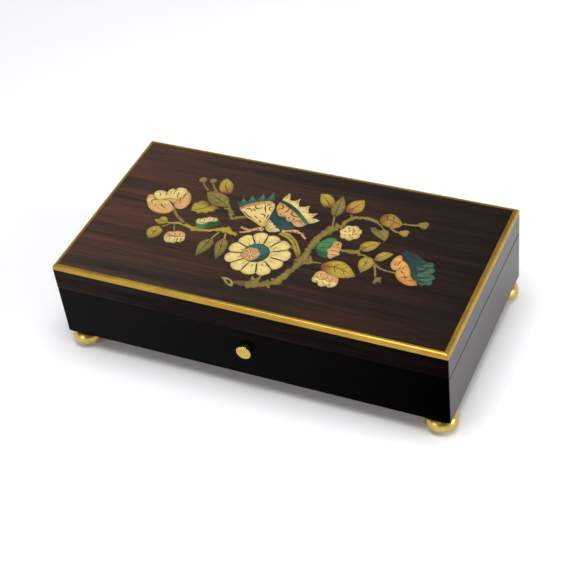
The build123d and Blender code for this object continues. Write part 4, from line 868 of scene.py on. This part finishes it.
def daisy():
    group = Inlay("daisy")
    centre = (-11.5, -23)
    group.shape(ring(centre, 21.8), (84, 62, 28))
    petals = 11
    for index in range(petals):
        angle = 360 * index / petals + 11
        reach = 24.8 - 1.4 * abs(math.sin(math.radians(angle))) + 0.8 * math.sin(2.3 * index)
        wide = 6.2 + 0.3 * math.sin(1.7 * index + 1)
        across = (
            (7.5, -2.6), (13, -0.68 * wide), (17.5, -0.91 * wide), (20.6, -0.93 * wide),
            (reach - 1.5, -0.72 * wide), (reach - 0.2, -0.36 * wide), (reach, 0.06 * wide),
            (reach - 0.4, 0.42 * wide), (reach - 1.8, 0.76 * wide), (20.4, 0.93 * wide),
            (17.5, 0.91 * wide), (13, 0.68 * wide), (7.5, 2.6)
        )
        outline = [spoke(centre, angle, a, b) for a, b in across]
        warm = (224, 194, 106) if index % 2 else (230, 206, 118)
        group.shape(outline, CREAM, warm, spoke((0, 0), angle + 180, 1, 0), 1 + index % 3, 0.5)
        group.line([spoke(centre, angle, 11.5, 0.2), spoke(centre, angle, 15.6, 0.6)], 0.34)
        seam = angle + 180 / petals
        group.line([spoke(centre, seam, 10.5, 0), spoke(centre, seam, 23.4, 0)], 0.75)
    group.shape(ring((-13.5, -22.5), 10.4), TEAL, DEEP_TEAL, (0.7, -0.8), 4, 0.4)
    for angle in (78, 40, 5, -30, -62):
        inner, outer = spoke((-13.5, -22.5), angle, 5, 0), spoke((-13.5, -22.5), angle + 12, 9.2, 0)
        group.line([inner, outer], 0.4, DEEP_TEAL)
    heart = (-17.2, -25)
    group.shape(ring(heart, 7.6, 0.98, 8, 0.12, 0.2), PEACH, PINK, (-1, 1), 5)
    for index in range(8):
        angle = 45 * index + 10
        group.line([spoke(heart, angle, 1.5, 0), spoke(heart, angle + 8, 5.8, 0)], 0.42)
    bract = [
        (-27.4, -54.2), (-22, -53.6), (-17.4, -55.6), (-14.6, -59.6), (-15, -61.6), (-18.8, -60.8),
        (-22.4, -58), (-25, -55.6)
    ]
    group.shape(bract, (182, 168, 88), OLIVE, (0, -1), 1)
    fold = [(-23, -55.2), (-19.4, -55.8), (-16.8, -58.8), (-18.2, -59.2), (-21.2, -57.2)]
    group.shape(fold, INK, layer=2)
    group.build(FLOWER_NODE)


def trunk():
    group = Inlay("trunk")
    path = [
        (-16, -56), (-10, -56), (0, -54), (6, -51.6), (12, -48), (16.6, -39), (20, -30), (22, -24),
        (23, -15), (22.4, -5), (24, 4), (27, 12), (31, 20), (34, 24.5)
    ]
    widths = [2.6, 5.2, 6.6, 5.8, 6.6, 5.8, 5.6, 7.4, 5.8, 4.8, 5.2, 6.6, 7.0, 5.4]
    group.stem(path, widths, OLIVE, 0, 0.5)
    group.stem([(-16.4, -56), (-12, -56.2), (-7, -55.6)], [2.6, 4.2, 3.4], (122, 84, 42), 1, 0.3)
    for base, tip, width in (
        ((-2, -53), (-5.4, -46.6), 5.6), ((-1, -52), (0.6, -43.6), 5.0), ((8, -51), (11.6, -54.6), 4.4),
        ((4, -52), (5.6, -55), 3.4), ((12, -47), (9, -44.6), 3.4),
        ((21, -20), (16.6, -21.4), 3.4), ((29, -20), (26, -13.6), 3.6), ((24, -22), (30, -20.6), 4.2),
    ):
        group.stem([base, tip], [width, 1.2], OLIVE, 0, 0.2)
    group.stem([(27, -22), (31, -19.8), (37, -19)], [3.0, 1.6, 1.3], OLIVE)
    group.stem([(30, 20), (28.2, 26), (26.3, 32.5)], [2.6, 1.6, 1.8], OLIVE)
    arm = [
        (35, 21), (36.4, 26), (37.4, 31), (41, 35.4), (48, 37.6), (56, 37.2), (60, 35.4), (64.6, 32),
        (68, 28.6)
    ]
    group.stem(arm, [4.6, 3.2, 3.6, 4.2, 3.4, 3.4, 2.4, 1.3, 1.2], OLIVE, 0, 0.4)
    group.stem([(40, 35), (37.6, 38.4)], [2.6, 1.0], OLIVE)
    band = [
        (-6, 4), (0, 5.4), (6, 2), (11, -2.4), (15.4, -8.4), (19, -14.5), (19, -20.6), (14, -14), (9, -7),
        (3, -1.4), (-2, 0.6), (-6, 1.4)
    ]
    leaf(group, band, GOLD_OLIVE, BURNT, (0.7, -1), [(-4, 3), (4, 1), (12, -7), (17, -15)], 1, 0.6)
    group.stem([(1, -9.4), (9, -8.6), (14, -11), (18.4, -16.4)], [1.8, 3.0, 3.4, 3.0], OLIVE, 0, 0.3)
    for start, tip in (
        ((24, -28), (21.8, -16)), ((23.4, -10), (24, 2)), ((26, 6), (30.5, 17)), ((4, -52.6), (13, -45)),
        ((-8, -56), (2, -53.2)), ((17, -37), (20.4, -29))
    ):
        middle = ((start[0] + tip[0]) / 2 + 0.5, (start[1] + tip[1]) / 2)
        group.line([start, middle, tip], 0.32, (92, 78, 34))
    group.build(GROWTH_NODE)


def top_leaves():
    group = Inlay("top_leaves")
    left = [(6, 55), (9.4, 56), (13, 56), (19, 51), (21.5, 46), (19, 41.5), (14, 41), (9, 47)]
    leaf(group, left, GOLD_OLIVE, BURNT, (0.8, -1), [(19, 43), (14, 48.4), (8, 54)], 1, 0.45)
    middle = [
        (23.6, 57.4), (21, 50), (20.3, 42), (23, 35), (26.5, 31.8), (29.6, 36), (30.6, 43), (28, 50.5)
    ]
    leaf(group, middle, OLIVE, (116, 106, 44), (0, -1), [(26, 33), (25, 42), (24, 54)], 2)
    right = [(41, 57.8), (43.6, 51), (43.4, 44), (38, 39.4), (32, 41), (31, 48), (33, 53)]
    leaf(group, right, (196, 156, 54), BURNT, (-0.8, -1), [(33.6, 42), (37.6, 48), (40.6, 55.6)], 1, 0.45)
    bud = [
        (60, 43), (62.6, 46.6), (67, 48), (71, 46.4), (75, 43), (79, 38.5), (76, 34), (70, 32.8),
        (64, 34.5), (60.6, 38.4)
    ]
    leaf(group, bud, (176, 140, 50), BURNT, (-1, 0.3), [(78, 38), (70, 40.5), (64, 42)], 1, 0.5)
    group.cuts((
        ((64, 45), (66, 41)), ((62.6, 37.4), (66, 39.6)), ((69, 46), (70.6, 41)), ((70, 34), (72, 39))
    ), 0.5, INK)
    group.stem([(79, 39.6), (84, 39.8), (90.5, 41.4)], [2.0, 1.8, 2.6], OLIVE)
    group.shape(ring((93.6, 42.2), 4.6, 1.0, 3, 0.3, 0.5), OLIVE, (120, 106, 44), (0, -1), 1)
    group.stem([(71, 33.2), (76, 29.8), (80.5, 29.4)], [2.6, 1.8, 2.0], (170, 128, 48))
    group.shape(ring((83, 29.8), 4.2, 1.0, 3, 0.3, 0.5), (176, 146, 52), OLIVE, (0, -1), 1)
    droop = [
        (56.6, 29), (60, 29.6), (64, 27.6), (68.6, 29.6), (71, 29), (73, 24), (72.8, 17), (66, 20),
        (60, 24)
    ]
    leaf(group, droop, OLIVE, (128, 112, 46), (-1, 0), [(58.6, 28), (65, 25.4), (71.4, 19.4)], 1)
    group.build(GROWTH_NODE)


def right_branch():
    group = Inlay("right_branch")
    group.stem([(46, -1.6), (52, -0.6), (58, -0.4), (61, -2.6)], [3.2, 4.0, 4.2, 2.6], OLIVE, 0, 0.5)
    twig = [(60, -2), (64, -1.8), (70, -5), (74, -8), (80, -11.8), (86, -12.8), (92, -13)]
    group.stem(twig, [1.6, 1.6, 2.2, 2.6, 1.7, 1.6, 1.8], OLIVE)
    group.stem([(56.5, 0.6), (58.4, 3.4)], [2.0, 1.4], OLIVE)
    for outline, vein in (
        (
            [(58, 2.8), (57.2, 9), (61, 13.5), (66, 14.8), (70.4, 14.8), (69, 8), (64, 2.5)],
            [(58.8, 3.6), (63.6, 8.6), (69, 13.6)]
        ),
        (
            [(72.4, -4.6), (72.8, 2), (77, 6.3), (84, 5.9), (81, 0), (77, -4.6)],
            [(73.6, -3), (77.6, 1.6), (82, 4.8)]
        ),
        (
            [(66.5, -2.8), (63, -6), (63, -12), (68, -20.4), (72.5, -14), (73.5, -8), (71, -3.6)],
            [(67.6, -4), (68, -10), (68, -17.6)]
        ),
    ):
        leaf(group, outline, (188, 160, 54), OLIVE, (-0.3, -1), vein)
    group.cuts((((68, -9), (65, -7)), ((68, -9.6), (71.2, -8))), 0.34, INK)
    group.stem([(74, -8.4), (76.8, -14), (79.6, -20.4)], [2.0, 1.5, 1.8], OLIVE)
    ends = [
        (78.4, -20), (80, -22.6), (79.4, -27), (82, -29), (83.2, -25), (86, -26.6), (84.6, -22.8),
        (84, -19.6), (81.4, -21)
    ]
    group.shape(ends, OLIVE, (116, 104, 44), (0, -1), 1)
    large = [
        (37.6, -20.4), (41, -16), (47, -13), (54, -13.8), (60, -18), (66.2, -25), (60, -28.4), (54, -30),
        (46, -28), (40, -25)
    ]
    leaf(group, large, (190, 160, 52), BURNT, (-1, -0.2), [(40, -20.6), (52, -20.6), (64, -24.6)], 3, 0.55)
    group.cuts((
        ((47, -20.4), (50.4, -16)), ((53, -20.8), (57, -18)), ((48, -20.6), (51, -26)),
        ((55, -21.6), (58, -25.6))
    ), 0.4, INK)
    group.build(GROWTH_NODE)


def tulip():
    group = Inlay("tulip")
    ground = [
        (87, -2), (90.4, 6.4), (98, 8.6), (110.6, 2), (118, -11.4), (107.4, -19.6), (96.6, -18), (91, -10.4)
    ]
    group.shape(ground, INK)
    cup = [
        (89.6, 6.6), (89.6, 11), (91, 12.8), (94, 12), (97, 11), (100.6, 10.4), (104, 8), (106.4, 6.4),
        (109, 4.6), (107, -2), (108, -12), (106, -16), (102.6, -11), (99, -4), (95, 1.6), (91.5, 6)
    ]
    group.shape(cup, DEEP_TEAL, (34, 50, 50), (-0.4, 1), 1, 0.2)
    lobes = [
        (101, 0.6), (104, 4.2), (107.4, 6.0), (109.6, 4.4), (112.8, 5.2), (115.6, 3.4), (115.8, 0.2),
        (118, -1.6), (118, -5), (115.6, -7), (118.8, -7.4), (121, -10.4), (119.4, -13.4), (120.8, -15.6),
        (119, -18.6), (116, -18.6), (114.4, -20.8), (111.6, -18.6), (107.6, -15), (104, -9), (101, -4)
    ]
    group.shape(lobes, (64, 104, 80), DEEP_TEAL, (-1, 0.2), 2, 0.3)
    peach = [
        (89.4, 6.4), (87, 4.4), (85.4, 0), (85.2, -4), (87, -8.4), (89.4, -10.4), (92, -10.4),
        (92.2, -13.6), (94.4, -17.4), (98.4, -20.6), (103.6, -22.6), (107.6, -22.4), (111.6, -20.6),
        (109, -17), (106, -15.4), (103.4, -12.4), (101.8, -8.6), (98.6, -3.6), (96.4, -1), (94.4, 0.4),
        (92.6, 0.8), (91.4, 3.6)
    ]
    group.shape(peach, (230, 168, 86), (208, 136, 56), (0.2, -1), 3, 0.5)
    for start, tip in (
        ((91.4, 0), (90.2, -6)), ((93.4, -5.2), (92.4, -10.2)), ((96, -5), (94.4, -9)),
        ((95, -9.6), (98.4, -12)), ((97.4, -16.2), (103, -13.6)), ((103.6, -17.8), (107.6, -16.6)),
        ((89, -2), (88.4, -6.4)), ((99, -13), (101.6, -17.2))
    ):
        middle = ((start[0] + tip[0]) / 2, (start[1] + tip[1]) / 2 - 0.4)
        group.line([start, middle, tip], 0.6, BURNT)
    group.cuts((
        ((103, -2), (105.4, -7), (107.6, -12.6)), ((105, 0.8), (108.4, 2.4), (110.4, 4.4)),
        ((107, -1.4), (111.6, -1.2), (115.6, 0.4)), ((106.6, -7.4), (110, -5.4), (113.4, -1.6)),
        ((107.6, -13), (112, -12.6), (117, -9.6)), ((109, -15), (113.6, -16.6), (118, -16)),
        ((93, 8), (97, 7.6), (101, 5.4))
    ), 0.85, (22, 44, 44))
    group.cuts((
        ((104.4, -4), (108.4, -3.4), (111.6, 1)), ((108, -10), (112.6, -8.6)),
        ((110.6, -15), (115.6, -14))
    ), 0.6, (96, 130, 102))
    group.build(FLOWER_NODE)


# ---------------------------------------------------------------- velvet
PAD_CELL = 0.0022


def crowned(name, x, y, z, body, side, square, node, edge=0.3, wrinkle=0.12):
    """A stuffed pad between (low, high) pairs, with its crown on top for side 1 or below for side -1."""
    across_x, across_y = x[1] - x[0], y[1] - y[0]
    columns, rows = max(12, int(across_x / PAD_CELL)), max(10, int(across_y / PAD_CELL))
    verts, faces = [], []
    back, front = (z[0], z[1]) if side > 0 else (z[1], z[0])
    thick = front - back
    for row in range(rows + 1):
        v = 2 * row / rows - 1
        for column in range(columns + 1):
            u = 2 * column / columns - 1
            crown = (1 - abs(u) ** square) ** (1 / 2.4) * (1 - abs(v) ** square) ** (1 / 2.4)
            pull = 0.004 * (1 - crown)
            px = (x[0] + x[1]) / 2 + u * across_x / 2 * (1 - pull)
            py = (y[0] + y[1]) / 2 + v * across_y / 2 * (1 - pull)
            waves = noise.noise((px * 160, py * 160, z[0] * 900))
            creases = noise.noise((px * 420, py * 420, z[0] * 500))
            ripple = wrinkle * waves * crown + 0.6 * wrinkle * creases * crown * (1 - crown) * 4
            height = edge + (1 - edge) * crown * (0.93 + 0.5 * ripple)
            verts.append((px, py, back + thick * min(height, 1.0)))
    start = len(verts)
    loop = list(range(columns + 1))
    loop += [(columns + 1) * row + columns for row in range(1, rows + 1)]
    loop += [(columns + 1) * rows + column for column in range(columns - 1, -1, -1)]
    loop += [(columns + 1) * row for row in range(rows - 1, 0, -1)]
    for index in loop:
        px, py, _ = verts[index]
        verts.append((px, py, back))
    for row in range(rows):
        for column in range(columns):
            a = row * (columns + 1) + column
            quad = [a, a + 1, a + columns + 2, a + columns + 1]
            faces.append(quad if side > 0 else quad[::-1])
    for step, index in enumerate(loop):
        following = (step + 1) % len(loop)
        quad = [start + step, start + following, loop[following], index]
        faces.append(quad if side > 0 else quad[::-1])
    floor = [start + step for step in range(len(loop))]
    faces.append(floor[::-1] if side > 0 else floor)
    piece = add_mesh(name, verts, faces, "velvet", body)
    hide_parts(node)


def room_lining(name, x, y, z, thick):
    """Velvet over card round one room: four sides with rolled tops, and the floor between them."""
    profile = [(0.0, 0.0)]
    rim = z[1] - z[0] - thick / 2
    steps = 7
    for index in range(steps):
        angle = math.pi * index / (steps - 1)
        profile.append((thick / 2 * (1 - math.cos(angle)), rim + thick / 2 * math.sin(angle)))
    profile += [(thick, thick * 3), (thick * 1.15, thick * 1.4), (thick * 1.6, thick)]
    verts, faces = [], []
    cells = 22
    for offset, height in profile:
        corners = [
            (x[0] + offset, y[0] + offset), (x[1] - offset, y[0] + offset),
            (x[1] - offset, y[1] - offset), (x[0] + offset, y[1] - offset)
        ]
        for side in range(4):
            a, b = Vector(corners[side]), Vector(corners[(side + 1) % 4])
            for cell in range(cells):
                place = a.lerp(b, cell / cells)
                swell = 0.00006 * noise.noise((place.x * 300, place.y * 300, height * 300))
                if not 0 < height < z[1] - z[0] - thick:
                    swell = 0
                verts.append((place.x, place.y, z[0] + height + swell))
    around = 4 * cells
    for level in range(len(profile) - 1):
        for cell in range(around):
            a, b = level * around + cell, level * around + (cell + 1) % around
            faces.append([b, a, a + around, b + around])
    faces.append([(len(profile) - 1) * around + cell for cell in range(around)])
    piece = add_mesh(name, verts, faces, "velvet", "case")
    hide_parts("compartment_linings")


def soft_goods():
    """The velvet: linings round three rooms, pads in two of them, rolls for rings, and the lid's pad."""
    low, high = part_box("compartment_linings")
    wall = 1.2 * MM
    part_x = (0.078, 0.082)
    part_y = (-0.024, -0.020)
    rooms = {
        "ring": ((low.x, high.x), (low.y, part_y[0])),
        "left": ((low.x, part_x[0]), (part_y[1], high.y)),
        "right": ((part_x[1], high.x), (part_y[1], high.y)),
    }
    for room, (x, y) in rooms.items():
        room_lining(f"{room}_room_lining", x, y, (low.z, high.z), wall)
    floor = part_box("compartment_pads")
    gap = wall + 0.4 * MM
    between = 0.3 * MM
    for room in ("left", "right"):
        x, y = rooms[room]
        inner_x, inner_y = (x[0] + gap, x[1] - gap), (y[0] + gap, y[1] - gap)
        crowned(
            f"{room}_room_pad", inner_x, inner_y, (floor[0].z, floor[1].z), "case", side=1, square=7.0,
            node="compartment_pads"
        )
    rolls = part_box("ring_rolls")
    count = 4
    pitch = (rolls[1].y - rolls[0].y + between) / count
    for index in range(count):
        start = rolls[0].y + index * pitch
        crowned(
            f"ring_roll_{index + 1}", (rolls[0].x, rolls[1].x), (start, start + pitch - between),
            (rolls[0].z, rolls[1].z), "case", side=1, square=2.6, edge=0.25, wrinkle=0.10,
            node="ring_rolls"
        )
    (left, front, bottom), (right, back, top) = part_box("lid_lining")
    crowned(
        "lid_pad", (left, right), (front, back), (bottom, top), "lid", side=-1, square=9.0,
        wrinkle=0.16, node="lid_lining"
    )


# ---------------------------------------------------------------- cylinder pins
def cylinder_pins():
    """Fine steel pins in a track for each comb tooth, with a bare strip where the tune starts."""
    low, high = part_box("cylinder_tube")
    axis = (low + high) / 2
    radius = (high.z - low.z) / 2
    teeth, beats, sides = 50, 12, 6
    proud = 0.42 * MM
    thick = 0.17 * MM
    tip = 0.2 * MM
    sunk = 0.2 * MM
    rests = 0.35
    bare_strip = 0.99
    pitch = (high.x - low.x) / teeth
    generator = random.Random(11)
    verts, faces = [], []
    for tooth in range(teeth):
        for beat in range(beats):
            if generator.random() < rests:
                continue
            turn = math.radians(360 / beats * beat + generator.choice((0, 7.5, 15, 22.5)))
            if abs(math.cos(turn / 2)) > bare_strip:
                continue
            out = Vector((0, math.cos(turn), math.sin(turn)))
            side = Vector((0, -math.sin(turn), math.cos(turn)))
            foot = Vector((low.x + pitch * (tooth + 0.5), axis.y, axis.z)) + out * (radius - sunk)
            base = len(verts)
            for height, size in ((0.0, thick), (proud, thick), (proud + tip, thick * 0.72)):
                for corner in range(sides):
                    angle = 2 * math.pi * corner / sides
                    offset = Vector((1, 0, 0)) * math.cos(angle) + side * math.sin(angle)
                    verts.append(tuple(foot + out * height + offset * size))
            for level in range(2):
                for corner in range(sides):
                    a, b = base + level * sides + corner, base + level * sides + (corner + 1) % sides
                    faces.append([a, b, b + sides, a + sides])
            faces.append([base + 2 * sides + corner for corner in range(sides)])
    add_mesh("cylinder_pins", verts, faces, "steel", "cylinder", smooth=False)


# ---------------------------------------------------------------- studio
def studio():
    """A pale floor and backdrop, soft lights, and a dim ceiling for the lacquer to reflect."""
    scene = bpy.context.scene
    scene.view_settings.view_transform = "Standard"
    world = bpy.data.worlds.new("studio")
    world.use_nodes = True
    sky = world.node_tree
    heading = sky.nodes.new("ShaderNodeSeparateXYZ")
    rise = sky.nodes.new("ShaderNodeValToRGB")
    sky.links.new(sky.nodes.new("ShaderNodeTexCoord").outputs["Generated"], heading.inputs["Vector"])
    sky.links.new(heading.outputs["Z"], rise.inputs["Fac"])
    sky.links.new(rise.outputs["Color"], sky.nodes["Background"].inputs["Color"])
    rise.color_ramp.elements[0].position = 0.30
    rise.color_ramp.elements[0].color = (1.00, 1.02, 1.05, 1)
    rise.color_ramp.elements[1].position = 0.50
    rise.color_ramp.elements[1].color = (0.155, 0.16, 0.17, 1)
    scene.world = world
    half = 9.0
    floor = bpy.data.meshes.new("floor")
    corners = [(-half, -half, 0), (half, -half, 0), (half, half, 0), (-half, half, 0)]
    floor.from_pydata(corners, [], [[0, 1, 2, 3]])
    paper = Finish("floor_paper", roughness=0.5)
    cloud = paper.noise((9, 9, 9), 3)
    mottle = paper.ramp(cloud, (0.3, (0.88, 0.88, 0.89, 1)), (0.7, (0.90, 0.90, 0.91, 1)))
    paper.link(mottle, "Base Color")
    paper.set(Specular_IOR_Level=0.2)
    floor.materials.append(paper.material)
    ground = bpy.data.objects.new("floor", floor)
    scene.collection.objects.link(ground)
    middle = Vector((0, 0, 0.03))
    for name, place, size, power in (
        ("overhead", (0.05, -0.10, 1.5), 1.0, 21.5),
        ("side", (1.5, 0.1, 0.8), 0.8, 10.0),
        ("front", (-0.8, -1.5, 1.0), 0.8, 4.0),
    ):
        lamp = bpy.data.lights.new(name, "AREA")
        lamp.size = size
        lamp.energy = power
        holder = bpy.data.objects.new(name, lamp)
        holder.location = place
        holder.rotation_euler = (middle - Vector(place)).to_track_quat("-Z", "Y").to_euler()
        scene.collection.objects.link(holder)


def camera():
    """A three-quarter view from the front right and above, with a slight roll."""
    azimuth, elevation, roll = math.radians(28.82), math.radians(41.99), math.radians(7.75)
    forward = Vector((
        -math.sin(azimuth) * math.cos(elevation), math.cos(azimuth) * math.cos(elevation),
        -math.sin(elevation)
    ))
    level_right = forward.cross(Vector((0, 0, 1))).normalized()
    level_down = forward.cross(level_right)
    right = level_right * math.cos(roll) + level_down * math.sin(roll)
    up = right.cross(forward)
    lens = bpy.data.cameras.new("camera")
    lens.lens = 90.45
    lens.sensor_width = 36.0
    lens.clip_start = 0.01
    holder = bpy.data.objects.new("camera", lens)
    turn = Matrix((right, up, -forward)).transposed().to_4x4()
    place = (0.3939, -0.7218, 0.7714)
    holder.matrix_world = Matrix.Translation(place) @ turn
    bpy.context.scene.collection.objects.link(holder)
    bpy.context.scene.camera = holder


# ---------------------------------------------------------------- the whole scene
finish_nodes()
for motif in (
    peony, left_branch, small_flowers, left_leaves, butterfly, daisy, trunk, top_leaves, right_branch,
    tulip
):
    motif()
soft_goods()
cylinder_pins()
studio()
camera()
